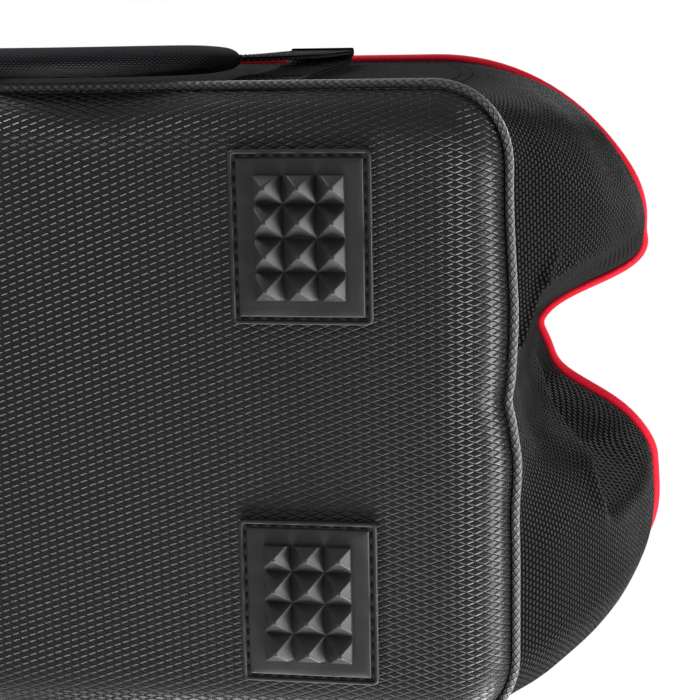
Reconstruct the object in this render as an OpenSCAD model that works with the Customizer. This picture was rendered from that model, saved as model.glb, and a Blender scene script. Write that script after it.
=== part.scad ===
// Soft-sided racing helmet bag, standing on four studded rubber feet.
// Millimetres. +Z is up, the front faces -Y and the right end faces +X.
// The origin is on the floor, at the middle of the bag's footprint.
// The left end is the right end turned half round about Z.

/* [Base] */
// Length of the base along its seam
base_length = 350; // [330:5:380]
// Width of the base along its seam
base_width = 256; // [244:2:280]
// Corner radius of the base seam
base_corner = 30; // [26:1:36]
// How far in from the seam the underside turns up
roll_inset = 25; // [18:1:28]
// Height that the underside rises to the seam
roll_rise = 13.5; // [11:0.5:17]
// Thickness of the embossed vinyl
vinyl_thickness = 1.2; // [0.8:0.1:1.8]
// Thickness of the stiffening board
board_thickness = 3; // [2:0.5:4]
// Thickness of the foam on the board
base_foam_thickness = 5; // [3:0.5:5.5]
// Radius of the welt along the base seam
welt_radius = 1.75; // [1.2:0.05:2.2]

/* [Feet] */
// Length of a foot along the bag's length
foot_length = 55; // [52:1:62]
// Width of a foot along the bag's width
foot_width = 67; // [63:1:74]
// Corner radius of a foot
foot_corner = 2; // [1:0.5:5]
// Distance from the base seam at an end to the middle of a foot
foot_inset_x = 79; // [60:1:90]
// Distance from the base seam at the front or back to the middle of a foot
foot_inset_y = 55.25; // [52:0.25:62]
// Thickness of a foot's flange
flange_thickness = 2.3; // [1.8:0.1:3]
// Width of the raised edge round a foot
foot_edge = 1.5; // [1:0.1:2.5]
// Width of the groove that the stitches lie in
stitch_groove = 1.5; // [1:0.1:2.5]
// Depth of the groove that the stitches lie in
groove_depth = 0.8; // [0.4:0.1:1.2]
// Height of a foot's studs
stud_height = 6.2; // [4:0.1:8]
// Distance from one stud to the next
stud_pitch = 13; // [12:0.1:13.5]
// Width of the flat on a stud's tip
stud_tip = 1.6; // [1:0.1:2.5]
// Studs along the bag's length
studs_x = 3; // [2:1:3]
// Studs along the bag's width
studs_y = 4; // [3:1:4]
// Depth that the studs' roots reach into a foot's flange
stud_root = 0.5; // [0.3:0.1:1]
// How much of the outer studs the block's upright sides cut away
stud_trim = 2.1; // [0.5:0.1:3]

/* [Walls] */
// Height of the walls from the base seam to the rim
wall_height = 184; // [160:2:210]
// How far the rim stands out past the base seam at the front and back
rim_flare = 6; // [2:0.5:9]
// How far the end's front lobe stands out past the base seam
front_lobe = 56; // [40:1:60]
// How far the end's back lobe stands out past the base seam
back_lobe = 61; // [48:1:66]
// How far the pinch between the lobes stands out past the base seam
pinch_out = 4; // [0:0.5:10]
// Dent of the base seam under the pinch
seam_dent = 2; // [0:0.5:4]
// Place of the pinch across the right end
pinch_place = -7; // [-15:1:10]
// Distance from the pinch to the front lobe's crown
front_flank = 41; // [36:1:55]
// Distance from the pinch to the back lobe's crown
back_flank = 68; // [54:1:78]
// Rim corner radius at the front lobe
front_lobe_corner = 104; // [90:1:110]
// Rim corner radius at the back lobe
back_lobe_corner = 60; // [50:1:75]
// How strongly the ends bulge below the rim
wall_bulge = 1.4; // [1:0.1:2]
// Thickness of the woven outer fabric
fabric_thickness = 1; // [0.6:0.1:1.5]
// Thickness of the wall foam
foam_thickness = 5; // [3:0.5:7]
// Thickness of the lining
lining_thickness = 0.8; // [0.5:0.1:1.5]
// Height of the walls' hem below the rim, which has no padding
wall_hem = 2; // [1:0.5:4]
// Radius of the red piping
piping_radius = 2.3; // [1.8:0.1:2.6]

/* [Lid] */
// Height of the lid's side band
band_height = 32; // [26:1:45]
// Height of the hem at the band's lower edge, which has no padding
lid_hem = 7; // [5:0.5:10]
// How far the lid's top bows up above its seam
lid_crown = 16; // [6:1:24]
// Length of the lid's top seam
lid_seam_length = 356; // [330:2:370]
// Width of the lid's top seam
lid_seam_width = 236; // [220:2:250]
// Corner radius of the lid's top seam
lid_seam_corner = 58; // [45:1:75]

/* [Zip] */
// Height of each coil row
coil_height = 2.8; // [2.2:0.1:3.2]
// Thickness of the coil rows
coil_thickness = 2.8; // [2.2:0.1:3.4]
// Gap between the two coil rows
coil_gap = 1.6; // [1.4:0.1:2]
// Thickness of the zip tape
tape_thickness = 0.8; // [0.5:0.1:1]
// How far the tape reaches up behind the lid's band
tape_overlap = 3; // [2:0.5:4]
// Length of a slider
slider_length = 11; // [9:0.5:14]
// Height of a slider's plates
slider_height = 8.2; // [7:0.1:8.6]
// Thickness of a slider's plates
slider_plate = 1.5; // [1:0.1:1.8]
// Radius of the bar that a pull's ring hangs on
bail_radius = 1; // [0.8:0.05:1.2]
// Middle radius of a pull's ring
ring_radius = 2.6; // [2.4:0.1:3]
// Wire radius of a pull's ring
ring_wire = 0.8; // [0.6:0.05:0.9]
// Length of a pull's tab
pull_length = 20; // [14:0.5:21]
// Width of a pull's tab
pull_width = 7; // [5:0.5:9]
// Thickness of a pull's tab
pull_thickness = 2; // [1.2:0.1:2.2]

/* [Handles] */
// Width of the webbing
webbing_width = 30; // [25:1:38]
// Thickness of the webbing
webbing_thickness = 2; // [1.4:0.1:2.4]
// Distance between a handle's two legs
handle_spacing = 150; // [130:2:160]
// Reach of a handle from its fold
handle_reach = 168; // [150:1:170]
// Height of the handle's fold below the rim
fold_drop = 22; // [20:1:30]
// Distance from the rim out to the middle of the handle's fold
fold_standoff = 5.2; // [5:0.1:7]
// Height above the base seam at which the sewn webbing starts
webbing_start = 18; // [10:1:40]
// Width of the padded grip
grip_width = 36; // [34:1:42]
// Thickness of the padded grip
grip_thickness = 12; // [9:0.5:13]
// Angle of the arch that the grip covers
grip_angle = 96; // [60:2:120]

/* [Hidden] */

$fn = 48;

// Clearance between soft layers, and between pieces that move past each other
clearance = 0.3;

// Steps round a corner, across each stretch of an end and along a long side
corner_steps = 5;
shoulder_steps = 4;
flank_steps = 6;
side_steps = 3;
end_columns = 2 * (corner_steps + shoulder_steps + flank_steps);
half_steps = end_columns + side_steps;
wall_rows = 5;
band_rows = 4;
top_rows = 4;

// Heights above the floor
vinyl_z = stud_height + flange_thickness;
seam_z = vinyl_z + roll_rise;
rim_z = seam_z + wall_height;
board_z = vinyl_z + vinyl_thickness + clearance;
base_foam_z = board_z + board_thickness + clearance;
floor_z = base_foam_z + base_foam_thickness + clearance;
padding_top_z = rim_z - wall_hem;
piping_z = rim_z + clearance + piping_radius;
zip_z = piping_z + piping_radius + clearance + slider_height / 2;
lid_skin_z = zip_z + max(coil_gap / 2 + coil_height, slider_height / 2) + clearance;
lid_tape_top = lid_skin_z + tape_overlap;
lid_padding_z = lid_skin_z + lid_hem;
lid_seam_z = lid_skin_z + band_height;

// Depths of the layers, measured inwards from the outer surface
foam_depth = fabric_thickness + clearance;
lining_depth = foam_depth + foam_thickness + clearance;
tape_depth = fabric_thickness + 2 * clearance;
coil_depth = tape_depth + tape_thickness / 2 - coil_thickness / 2;

// Plan of the rim and of the board
rim_half_width = base_width / 2 + rim_flare;
board_inset = roll_inset + 2;
board_corner = 12;

// Handles
fold_z = rim_z - fold_drop;
fold_y = rim_half_width + fold_standoff;
fold_radius = 2.2;
arch_radius = handle_spacing / 2;
arch_z = fold_z - handle_reach + arch_radius + webbing_width / 2;

// Sliders: where they rest, and the bar of the bail in front of the outer plate
slider_rest = slider_length / 2 + 1;
slider_clearance = 0.4;
bail_reach = 4.2;
bail_y = -rim_half_width + coil_depth - slider_clearance - slider_plate - bail_reach;

// A share eased from 0 to 1
function ease(share) = let (s = max(0, min(1, share))) s * s * (3 - 2 * s);
function mix(from, to, share) = from + (to - from) * share;

// 1 at the pinch across the right end, fading to 0 at the crown of each lobe
function pinch_share(y) =
    1 - ease(abs(y - pinch_place) / (y < pinch_place ? front_flank : back_flank));

function on_arc(centre, radius, angle) = centre + radius * [cos(angle), sin(angle)];

// Places across the right end that every plan has points at: from the front corner over the
// front lobe's crown, the pinch and the back lobe's crown to the back corner
corner_place = base_width / 2 - base_corner;
end_stops = [-corner_place, pinch_place - front_flank, pinch_place, pinch_place + back_flank,
    corner_place];
end_places = [for (part = [0 : 3])
    let (steps = part == 0 || part == 3 ? shoulder_steps : flank_steps)
    for (i = [0 : steps - 1]) mix(end_stops[part], end_stops[part + 1], i / steps)];

// Closed plan of the bag at one height. half_front and half_back are the half lengths at the
// two lobes and half_pinch the half length between them. The second half of the points is the
// first half turned half round.
function plan(half_front, half_back, half_pinch, half_width, corner_front, corner_back, depth) =
    let (
        front_centre = [half_front - corner_front, corner_front - half_width],
        back_centre = [half_back - corner_back, half_width - corner_back],
        front_radius = corner_front - depth,
        back_radius = corner_back - depth,
        front_end = asin((-corner_place - front_centre.y) / front_radius),
        back_start = asin((corner_place - back_centre.y) / back_radius),
        end = [for (y = end_places)
            let (
                crown = y < pinch_place
                    ? front_centre.x + (y < front_centre.y
                        ? sqrt(front_radius * front_radius - pow(y - front_centre.y, 2))
                        : front_radius)
                    : back_centre.x + (y > back_centre.y
                        ? sqrt(back_radius * back_radius - pow(y - back_centre.y, 2))
                        : back_radius)
            )
            [mix(crown, half_pinch - depth, pinch_share(y)), y]],
        half = concat(
            [for (i = [0 : corner_steps - 1])
                on_arc(front_centre, front_radius, mix(-90, front_end, i / corner_steps))],
            end,
            [for (i = [0 : corner_steps - 1])
                on_arc(back_centre, back_radius, mix(back_start, 90, i / corner_steps))],
            [for (i = [0 : side_steps - 1])
                mix([back_centre.x, half_width - depth],
                    [-front_centre.x, half_width - depth], i / side_steps)]
        )
    )
    concat(half, [for (p = half) -p]);

// Plan of the wall at a share of its height, 0 at the base seam and 1 at the rim
function wall_plan(share, depth) =
    let (
        out = 1 - pow(1 - share, wall_bulge),
        half = base_length / 2
    )
    plan(
        half + front_lobe * out, half + back_lobe * out,
        half - seam_dent + (pinch_out + seam_dent) * out,
        base_width / 2 + rim_flare * share,
        mix(base_corner, front_lobe_corner, share), mix(base_corner, back_lobe_corner, share),
        depth
    );

// Plan of the lid at a share of its way in, 0 over the rim and 1 at the top seam
function lid_plan(share, depth) =
    let (half = base_length / 2, seam_half = lid_seam_length / 2)
    plan(
        mix(half + front_lobe, seam_half, share), mix(half + back_lobe, seam_half, share),
        mix(half + pinch_out, seam_half, share),
        mix(rim_half_width, lid_seam_width / 2, share),
        mix(front_lobe_corner, lid_seam_corner, share),
        mix(back_lobe_corner, lid_seam_corner, share),
        depth
    );

function at_height(points, z) = [for (p = points) [p.x, p.y, z]];
function columns(points, first, last) =
    [for (i = [first : last]) points[i % len(points)]];
function flatten(rows) = [for (row = rows) each row];

// Rows of a wall layer from the seam up, ending at the height top_z
function wall_rows_at(depth, top_z) =
    let (
        padding_share = (padding_top_z - seam_z) / wall_height,
        shares = concat(
            [for (i = [0 : wall_rows - 1]) padding_share * i / (wall_rows - 1)],
            top_z > padding_top_z ? [1] : []
        )
    )
    [for (s = shares) at_height(wall_plan(s, depth), seam_z + wall_height * s)];

// Rows of a lid layer: the band turns from upright over the rim to level at the top seam
function band_angles(whole) =
    let (padding_angle = asin((lid_padding_z - lid_skin_z) / band_height))
    concat(
        whole ? [0] : [],
        [for (i = [0 : band_rows - 1]) mix(padding_angle, 90, i / (band_rows - 1))]
    );
function band_rows_at(depth, whole) =
    [for (a = band_angles(whole))
        at_height(lid_plan(1 - cos(a), depth * cos(a)),
            lid_skin_z + (band_height - depth) * sin(a))];
function top_rows_at(depth, first) =
    [for (i = [first : top_rows])
        let (s = 1 - 0.92 * i / top_rows)
        [for (p = lid_plan(1, 0)) [p.x * s, p.y * s, lid_seam_z + lid_crown * (1 - s * s) - depth]]];

// Triangles over a grid of points whose rows run bottom to top, seen from outside
function grid_faces(rows, cols, first, wrapped, inside) =
    [for (r = [0 : rows - 2], c = [0 : wrapped ? cols - 1 : cols - 2])
        let (
            a = first + r * cols + c,
            b = first + r * cols + (c + 1) % cols
        )
        each inside
            ? [[a, b, b + cols], [a, b + cols, a + cols]]
            : [[a, a + cols, b + cols], [a, b + cols, b]]];

// Triangles that join two edges of the same length
function edge_faces(one, other, wrapped) =
    [for (c = [0 : wrapped ? len(one) - 1 : len(one) - 2])
        let (n = (c + 1) % len(one))
        each [[one[c], one[n], other[n]], [one[c], other[n], other[c]]]];

// A layer of even thickness between an outer and an inner grid
module layer(outer, inner, wrapped = true) {
    rows = len(outer);
    cols = len(outer[0]);
    n = rows * cols;
    bottom = [for (c = [0 : cols - 1]) c];
    top = [for (c = [0 : cols - 1]) n - cols + c];
    start = [for (r = [0 : rows - 1]) r * cols];
    end = [for (r = [0 : rows - 1]) r * cols + cols - 1];
    shifted = function (edge) [for (i = edge) i + n];
    polyhedron(
        concat(flatten(outer), flatten(inner)),
        concat(
            grid_faces(rows, cols, 0, wrapped, false),
            grid_faces(rows, cols, n, wrapped, true),
            edge_faces(bottom, shifted(bottom), wrapped),
            edge_faces(shifted(top), top, wrapped),
            wrapped ? [] : edge_faces(shifted(start), start, false),
            wrapped ? [] : edge_faces(end, shifted(end), false)
        )
    );
}

// A bowl turned over: a layer whose last rows close over the middle
module dome(outer, inner) {
    rows = len(outer);
    cols = len(outer[0]);
    n = rows * cols;
    last_outer = outer[rows - 1];
    last_inner = inner[rows - 1];
    bottom = [for (c = [0 : cols - 1]) c];
    polyhedron(
        concat(flatten(outer), flatten(inner), [[0, 0, last_outer[0].z], [0, 0, last_inner[0].z]]),
        concat(
            grid_faces(rows, cols, 0, true, false),
            grid_faces(rows, cols, n, true, true),
            edge_faces(bottom, [for (c = bottom) c + n], true),
            [for (c = [0 : cols - 1])
                [n - cols + c, 2 * n, n - cols + (c + 1) % cols]],
            [for (c = [0 : cols - 1])
                [2 * n - cols + (c + 1) % cols, 2 * n + 1, 2 * n - cols + c]]
        )
    );
}

// Outward normals of a closed level path
function normals(path) =
    let (count = len(path))
    [for (i = [0 : count - 1])
        let (t = path[(i + 1) % count] - path[(i + count - 1) % count])
        [t.y, -t.x] / norm(t)];

// A closed level path moved outwards by an even distance
function spread(path, distance) =
    let (outward = normals(path))
    [for (i = [0 : len(path) - 1]) path[i] + distance * outward[i]];

// A tube along a closed level path
module ring_tube(path, z, radius, sides) {
    count = len(path);
    outward = normals(path);
    polyhedron(
        [for (i = [0 : count - 1], k = [0 : sides - 1])
            let (
                a = 360 * (k + 0.5) / sides,
                p = path[i] + radius * cos(a) * outward[i]
            )
            [p.x, p.y, z + radius * sin(a)]],
        [for (i = [0 : count - 1], k = [0 : sides - 1])
            let (
                a = i * sides + k,
                b = i * sides + (k + 1) % sides,
                c = (i + 1) % count * sides + (k + 1) % sides,
                d = (i + 1) % count * sides + k
            )
            each [[a, b, c], [a, c, d]]]
    );
}

module rounded_plate(length, width, corner, thickness) {
    linear_extrude(thickness) {
        square([length - 2 * corner, width], center = true);
        square([length, width - 2 * corner], center = true);
        for (x = [-1, 1], y = [-1, 1])
            translate([x * (length / 2 - corner), y * (width / 2 - corner)])
                circle(corner);
    }
}

// An upright strip of the lid's or body's edge, over some columns of the rim's plan
module rim_strip(first, last, depth, thickness, low_z, high_z) {
    front = columns(wall_plan(1, depth), first, last);
    back = columns(wall_plan(1, depth + thickness), first, last);
    layer(
        [at_height(front, low_z), at_height(front, high_z)],
        [at_height(back, low_z), at_height(back, high_z)],
        wrapped = false
    );
}

// ---- Base ----

function underside_rows(depth) =
    concat(
        [for (i = [0 : 5])
            let (a = 90 * i / 5)
            at_height(wall_plan(0, depth + (roll_inset - depth) * (1 - cos(a))),
                -seam_z + (roll_rise - depth) * sin(a))],
        [[for (p = wall_plan(0, roll_inset)) [p.x * 0.1, p.y * 0.1, -vinyl_z - depth]]]
    );

module base_panel() {
    color("#232226") mirror([0, 0, 1])
        dome(underside_rows(0), underside_rows(vinyl_thickness));
}

module base_board() {
    color("#6b6b66") translate([0, 0, board_z])
        rounded_plate(base_length - 2 * board_inset, base_width - 2 * board_inset,
            board_corner, board_thickness);
}

module base_foam() {
    inset = 9 + seam_dent;
    color("#4a4a4e") translate([0, 0, base_foam_z])
        rounded_plate(base_length - 2 * inset, base_width - 2 * inset,
            base_corner - inset, base_foam_thickness);
}

module floor_lining() {
    inset = lining_depth + lining_thickness + clearance;
    color("#3a3a3e") translate([0, 0, floor_z])
        rounded_plate(base_length - 2 * inset, base_width - 2 * inset,
            base_corner - inset, lining_thickness);
}

module base_welt() {
    color("#1d1c1f")
        ring_tube(spread(wall_plan(0, 0), welt_radius + clearance / 2),
            seam_z, welt_radius, 6);
}

module stud_block() {
    length = studs_x * stud_pitch;
    width = studs_y * stud_pitch;
    height = stud_root + stud_height;
    root_width = stud_tip + (stud_pitch - stud_tip) * height / stud_height;
    intersection() {
        for (i = [0 : studs_x - 1], j = [0 : studs_y - 1])
            translate([(i + 0.5) * stud_pitch - length / 2, (j + 0.5) * stud_pitch - width / 2,
                -stud_root])
                linear_extrude(height, scale = stud_tip / root_width)
                    square(root_width, center = true);
        translate([stud_trim - length / 2, stud_trim - width / 2, -stud_root])
            cube([length - 2 * stud_trim, width - 2 * stud_trim, height]);
    }
}

// side_x is 1 at the right end, and side_y is -1 at the front
module foot(side_x, side_y) {
    panel = foot_edge + stitch_groove;
    color("#3b3b3c")
        translate([side_x * (base_length / 2 - foot_inset_x),
            side_y * (base_width / 2 - foot_inset_y), vinyl_z])
            mirror([0, 0, 1]) {
                rounded_plate(foot_length, foot_width, foot_corner, flange_thickness - groove_depth);
                difference() {
                    rounded_plate(foot_length, foot_width, foot_corner, flange_thickness);
                    rounded_plate(foot_length - 2 * foot_edge, foot_width - 2 * foot_edge,
                        foot_corner / 2, flange_thickness + 1);
                }
                rounded_plate(foot_length - 2 * panel, foot_width - 2 * panel,
                    foot_corner / 2, flange_thickness);
                translate([0, 0, flange_thickness]) stud_block();
            }
}

module foot_front_right() { foot(1, -1); }
module foot_front_left() { foot(-1, -1); }
module foot_back_right() { foot(1, 1); }
module foot_back_left() { foot(-1, 1); }

// ---- Walls ----

// One panel of a wall layer, over some columns of the plan
module wall_panel(first, last, depth, thickness, top_z) {
    layer(
        [for (row = wall_rows_at(depth, top_z)) columns(row, first, last)],
        [for (row = wall_rows_at(depth + thickness, top_z)) columns(row, first, last)],
        wrapped = false
    );
}

module outer_panel(first, last) {
    color("#26262a") wall_panel(first, last, 0, fabric_thickness, rim_z);
}

module foam_panel(first, last) {
    color("#4a4a4e") wall_panel(first, last, foam_depth, foam_thickness, padding_top_z);
}

module right_end_wall() { outer_panel(0, end_columns); }
module back_wall() { outer_panel(end_columns, half_steps); }
module left_end_wall() { outer_panel(half_steps, half_steps + end_columns); }
module front_wall() { outer_panel(half_steps + end_columns, 2 * half_steps); }

module right_end_foam() { foam_panel(0, end_columns); }
module back_foam() { foam_panel(end_columns, half_steps); }
module left_end_foam() { foam_panel(half_steps, half_steps + end_columns); }
module front_foam() { foam_panel(half_steps + end_columns, 2 * half_steps); }

module wall_lining() {
    color("#3a3a3e")
        layer(wall_rows_at(lining_depth, padding_top_z),
            wall_rows_at(lining_depth + lining_thickness, padding_top_z));
}

module rim_piping() {
    color("#e0042b")
        ring_tube(spread(wall_plan(1, tape_depth), piping_radius + clearance),
            piping_z, piping_radius, 8);
}

// ---- Zip and hinge strip ----

// The zip runs from the back left corner round the front to the back right corner
module zip_strip(depth, thickness, low_z, high_z) {
    rim_strip(half_steps, 2 * half_steps + end_columns, depth, thickness, low_z, high_z);
}

module zip_tape_lower() {
    color("#17171a")
        zip_strip(tape_depth, tape_thickness, padding_top_z + clearance,
            zip_z - coil_gap / 2 - coil_height - clearance);
}

module zip_coil_lower() {
    color("#2c2c30")
        zip_strip(coil_depth, coil_thickness, zip_z - coil_gap / 2 - coil_height,
            zip_z - coil_gap / 2);
}

module zip_coil_upper() {
    color("#2c2c30")
        zip_strip(coil_depth, coil_thickness, zip_z + coil_gap / 2,
            zip_z + coil_gap / 2 + coil_height);
}

module zip_tape_upper() {
    color("#17171a")
        zip_strip(tape_depth, tape_thickness, zip_z + coil_gap / 2 + coil_height + clearance,
            lid_tape_top);
}

// The stops are pressed on outside the hinge strip, where each end of the coils meets it
module zip_stops() {
    stop = 3;
    stop_thickness = 1.7;
    front_corner_x = base_length / 2 + front_lobe - front_lobe_corner;
    back_corner_x = base_length / 2 + back_lobe - back_lobe_corner;
    color("#8a8a8c")
        for (x = [back_corner_x - stop - clearance, -front_corner_x + clearance])
            translate([x, rim_half_width - tape_depth + clearance,
                zip_z - coil_gap / 2 - coil_height])
                cube([stop, stop_thickness, coil_height]);
}

module hinge_strip_lower() {
    color("#1f1f22")
        rim_strip(end_columns, half_steps, tape_depth, tape_thickness,
            padding_top_z + clearance, zip_z - clearance);
}

module hinge_strip_upper() {
    color("#1f1f22")
        rim_strip(end_columns, half_steps, tape_depth, tape_thickness,
            zip_z + clearance, lid_tape_top);
}

// ---- Lid ----

module lid_band() {
    color("#26262a")
        layer(band_rows_at(0, true), band_rows_at(fabric_thickness, true));
}

module lid_top() {
    color("#26262a") dome(top_rows_at(0, 0), top_rows_at(fabric_thickness, 0));
}

module lid_piping() {
    color("#e0042b")
        ring_tube(lid_plan(1, 0), lid_seam_z + clearance + piping_radius, piping_radius, 6);
}

// Padding under both the band and the top
module lid_layer(depth, thickness) {
    dome(concat(band_rows_at(depth, false), top_rows_at(depth, 1)),
        concat(band_rows_at(depth + thickness, false), top_rows_at(depth + thickness, 1)));
}

module lid_foam() {
    color("#4a4a4e") lid_layer(foam_depth, foam_thickness);
}

module lid_lining() {
    color("#3a3a3e") lid_layer(lining_depth, lining_thickness);
}

// ---- Sliders and pulls ----

// Outline of a slider's plate, wide at the end that parts the coils. side is 1 for the slider
// that leads to the right.
function plate_outline(side) =
    let (half = slider_length / 2, wide = slider_height / 2, narrow = slider_height * 0.36)
    [for (p = [[-half, -narrow], [half - 2.5, -wide], [half, -wide + 1.5],
               [half, wide - 1.5], [half - 2.5, wide], [-half, narrow]])
        [side * p.x, p.y]];

module slider_plate_at(y, side) {
    translate([0, y, 0]) rotate([90, 0, 0]) linear_extrude(slider_plate)
        polygon(plate_outline(side));
}

module slider(side) {
    outer_y = -rim_half_width + coil_depth - slider_clearance;
    inner_y = -rim_half_width + coil_depth + coil_thickness + slider_clearance + slider_plate;
    post = 3;
    post_height = coil_gap - 0.7;
    leg = 1.6;
    leg_spread = 3.4;
    color("#5c5c60") translate([side * slider_rest, 0, zip_z]) {
        slider_plate_at(outer_y, side);
        slider_plate_at(inner_y, side);
        translate([side * (slider_length / 2 - 2) - post / 2, outer_y - slider_plate / 2,
            -post_height / 2])
            cube([post, inner_y - outer_y, post_height]);
        for (x = [-leg_spread, leg_spread])
            translate([x - leg / 2, bail_y - bail_radius, -bail_radius])
                cube([leg, outer_y - bail_y, 2 * bail_radius]);
        translate([-leg_spread, bail_y, 0]) rotate([0, 90, 0])
            cylinder(h = 2 * leg_spread, r = bail_radius);
    }
}

module pull(side) {
    hang = ring_radius - ring_wire - bail_radius - 0.1;
    tab_top = hang + ring_radius;
    neck = 3;
    neck_length = 5;
    tab_corner = 1.5;
    color("#b3b3b6") translate([side * slider_rest, bail_y, zip_z]) {
        translate([0, 0, -hang]) rotate([0, 90, 0]) rotate_extrude()
            translate([ring_radius, 0]) circle(ring_wire, $fn = 24);
        translate([-neck / 2, -pull_thickness / 2, -tab_top - neck_length])
            cube([neck, pull_thickness, neck_length]);
        translate([0, pull_thickness / 2, -tab_top - neck_length / 2 - (pull_length - 2) / 2])
            rotate([90, 0, 0])
                rounded_plate(pull_width, pull_length - neck_length, tab_corner, pull_thickness);
    }
}

module slider_right() { slider(1); }
module slider_left() { slider(-1); }
module pull_right() { pull(1); }
module pull_left() { pull(-1); }

// ---- Handles, drawn at the front ----

// Distance of the front and back walls' outer face from the middle, at a height
function wall_y(z) = base_width / 2 + rim_flare * (z - seam_z) / wall_height;

// Webbing sewn flat up the wall and folded into the tunnel that the handle hangs from, as
// distance from the bag's middle and height
function webbing_profile() =
    let (
        low_z = seam_z + webbing_start,
        flat_z = fold_z - fold_radius,
        top_z = fold_z + fold_radius,
        outer = clearance + webbing_thickness,
        steps = 12
    )
    concat(
        [[wall_y(low_z) + clearance, low_z], [wall_y(low_z) + outer, low_z],
            [wall_y(flat_z) + outer, flat_z]],
        [for (i = [0 : steps]) on_arc([fold_y, fold_z], fold_radius, mix(-90, 90, i / steps))],
        [[wall_y(top_z) + clearance, top_z]]
    );

module sewn_webbing() {
    color("#1b1b1e") for (side = [-1, 1])
        translate([side * handle_spacing / 2, 0, 0]) rotate([90, 0, -90])
            linear_extrude(webbing_width, center = true) polygon(webbing_profile());
}

module handle_strap() {
    leg_top = fold_z - fold_radius - clearance;
    color("#1b1b1e") translate([0, -fold_y, 0]) {
        for (side = [-1, 1])
            translate([side * arch_radius - webbing_width / 2, -webbing_thickness / 2, arch_z])
                cube([webbing_width, webbing_thickness, leg_top - arch_z]);
        translate([0, 0, arch_z]) rotate([90, 180, 0]) rotate_extrude(angle = 180)
            translate([arch_radius - webbing_width / 2, -webbing_thickness / 2])
                square([webbing_width, webbing_thickness]);
    }
}

module handle_grip() {
    sides = 20;
    slot = clearance / 2;
    color("#2a2a2e") translate([0, -fold_y, arch_z])
        rotate([90, 90 + grip_angle / 2, 0]) rotate_extrude(angle = grip_angle)
            translate([arch_radius, 0]) difference() {
                polygon([for (i = [0 : sides - 1])
                    let (a = 360 * i / sides)
                    [grip_width / 2 * cos(a), grip_thickness / 2 * sin(a)]]);
                square([webbing_width + 2 * slot, webbing_thickness + 2 * slot], center = true);
            }
}

module front_webbing() { sewn_webbing(); }
module back_webbing() { rotate([0, 0, 180]) sewn_webbing(); }
module front_handle() { handle_strap(); }
module back_handle() { rotate([0, 0, 180]) handle_strap(); }
module front_grip() { handle_grip(); }
module back_grip() { rotate([0, 0, 180]) handle_grip(); }

base_panel();
base_board();
base_foam();
floor_lining();
base_welt();
foot_front_right();
foot_front_left();
foot_back_right();
foot_back_left();
front_wall();
back_wall();
right_end_wall();
left_end_wall();
front_foam();
back_foam();
right_end_foam();
left_end_foam();
wall_lining();
rim_piping();
zip_tape_lower();
zip_coil_lower();
zip_stops();
hinge_strip_lower();
front_webbing();
back_webbing();
lid_band();
lid_top();
lid_piping();
lid_foam();
lid_lining();
zip_tape_upper();
zip_coil_upper();
hinge_strip_upper();
slider_right();
pull_right();
slider_left();
pull_left();
front_handle();
front_grip();
back_handle();
back_grip();
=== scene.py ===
# %% [markdown]
# # A soft helmet bag
#
# A helmet bag is cut from cloth and sewn round a stiff base: an embossed vinyl underside with
# rubber feet, woven walls padded with foam, red piping along the rim, and a padded lid that
# closes with a zip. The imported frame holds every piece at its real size. This file dresses that
# frame: soft pieces are lofted from the same plan that the frame was drawn from, and each finish
# is a small node network written as arithmetic.

# %% Load the frame
import math

import bmesh
import bpy
import numpy as np
from mathutils import Matrix, Vector


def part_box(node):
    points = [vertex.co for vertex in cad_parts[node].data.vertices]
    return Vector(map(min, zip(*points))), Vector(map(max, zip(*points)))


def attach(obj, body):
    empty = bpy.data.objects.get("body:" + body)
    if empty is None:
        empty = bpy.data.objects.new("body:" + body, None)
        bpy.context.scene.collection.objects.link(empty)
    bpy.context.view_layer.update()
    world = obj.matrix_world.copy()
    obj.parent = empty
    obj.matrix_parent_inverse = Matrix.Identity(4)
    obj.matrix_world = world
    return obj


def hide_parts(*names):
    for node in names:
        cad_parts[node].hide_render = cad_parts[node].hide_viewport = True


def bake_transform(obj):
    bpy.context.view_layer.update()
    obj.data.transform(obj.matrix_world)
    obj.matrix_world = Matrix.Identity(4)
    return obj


MM = 0.001
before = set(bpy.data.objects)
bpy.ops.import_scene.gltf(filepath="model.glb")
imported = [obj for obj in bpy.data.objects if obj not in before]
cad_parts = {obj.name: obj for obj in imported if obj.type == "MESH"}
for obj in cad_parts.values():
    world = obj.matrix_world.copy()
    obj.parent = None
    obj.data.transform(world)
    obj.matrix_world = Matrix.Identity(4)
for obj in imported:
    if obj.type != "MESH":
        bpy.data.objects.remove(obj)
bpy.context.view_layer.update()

# %% [markdown]
# ## The driving sizes
#
# Sizes are in millimetres until a mesh is made. Heights and radii that a node already has are
# read from its box. The plan's own sizes can't be read from a box, so they are named here.


# %% Sizes of the bag
def low(node):
    """Lowest corner of a node's box, in millimetres."""
    return np.array(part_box(node)[0]) / MM


def high(node):
    """Highest corner of a node's box, in millimetres."""
    return np.array(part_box(node)[1]) / MM


def centre_of(node):
    """Middle of a node's box, in millimetres."""
    return (low(node) + high(node)) / 2


BASE_LENGTH, BASE_WIDTH, BASE_CORNER = 350, 256, 30
HALF_LENGTH, HALF_WIDTH = BASE_LENGTH / 2, BASE_WIDTH / 2
ROLL_INSET = 25
VINYL_THICKNESS = 1.2
RIM_FLARE = 6
FRONT_LOBE, BACK_LOBE, PINCH_OUT, SEAM_DENT = 56, 61, 4, 2
PINCH_PLACE, FRONT_FLANK, BACK_FLANK = -7, 41, 68
FRONT_LOBE_CORNER, BACK_LOBE_CORNER = 104, 60
WALL_BULGE = 2.0
FABRIC, FOAM, LINING = 1.0, 5.0, 0.8
LID_SEAM_LENGTH, LID_SEAM_WIDTH, LID_SEAM_CORNER = 356, 236, 58
CLEARANCE = 0.3

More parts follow.
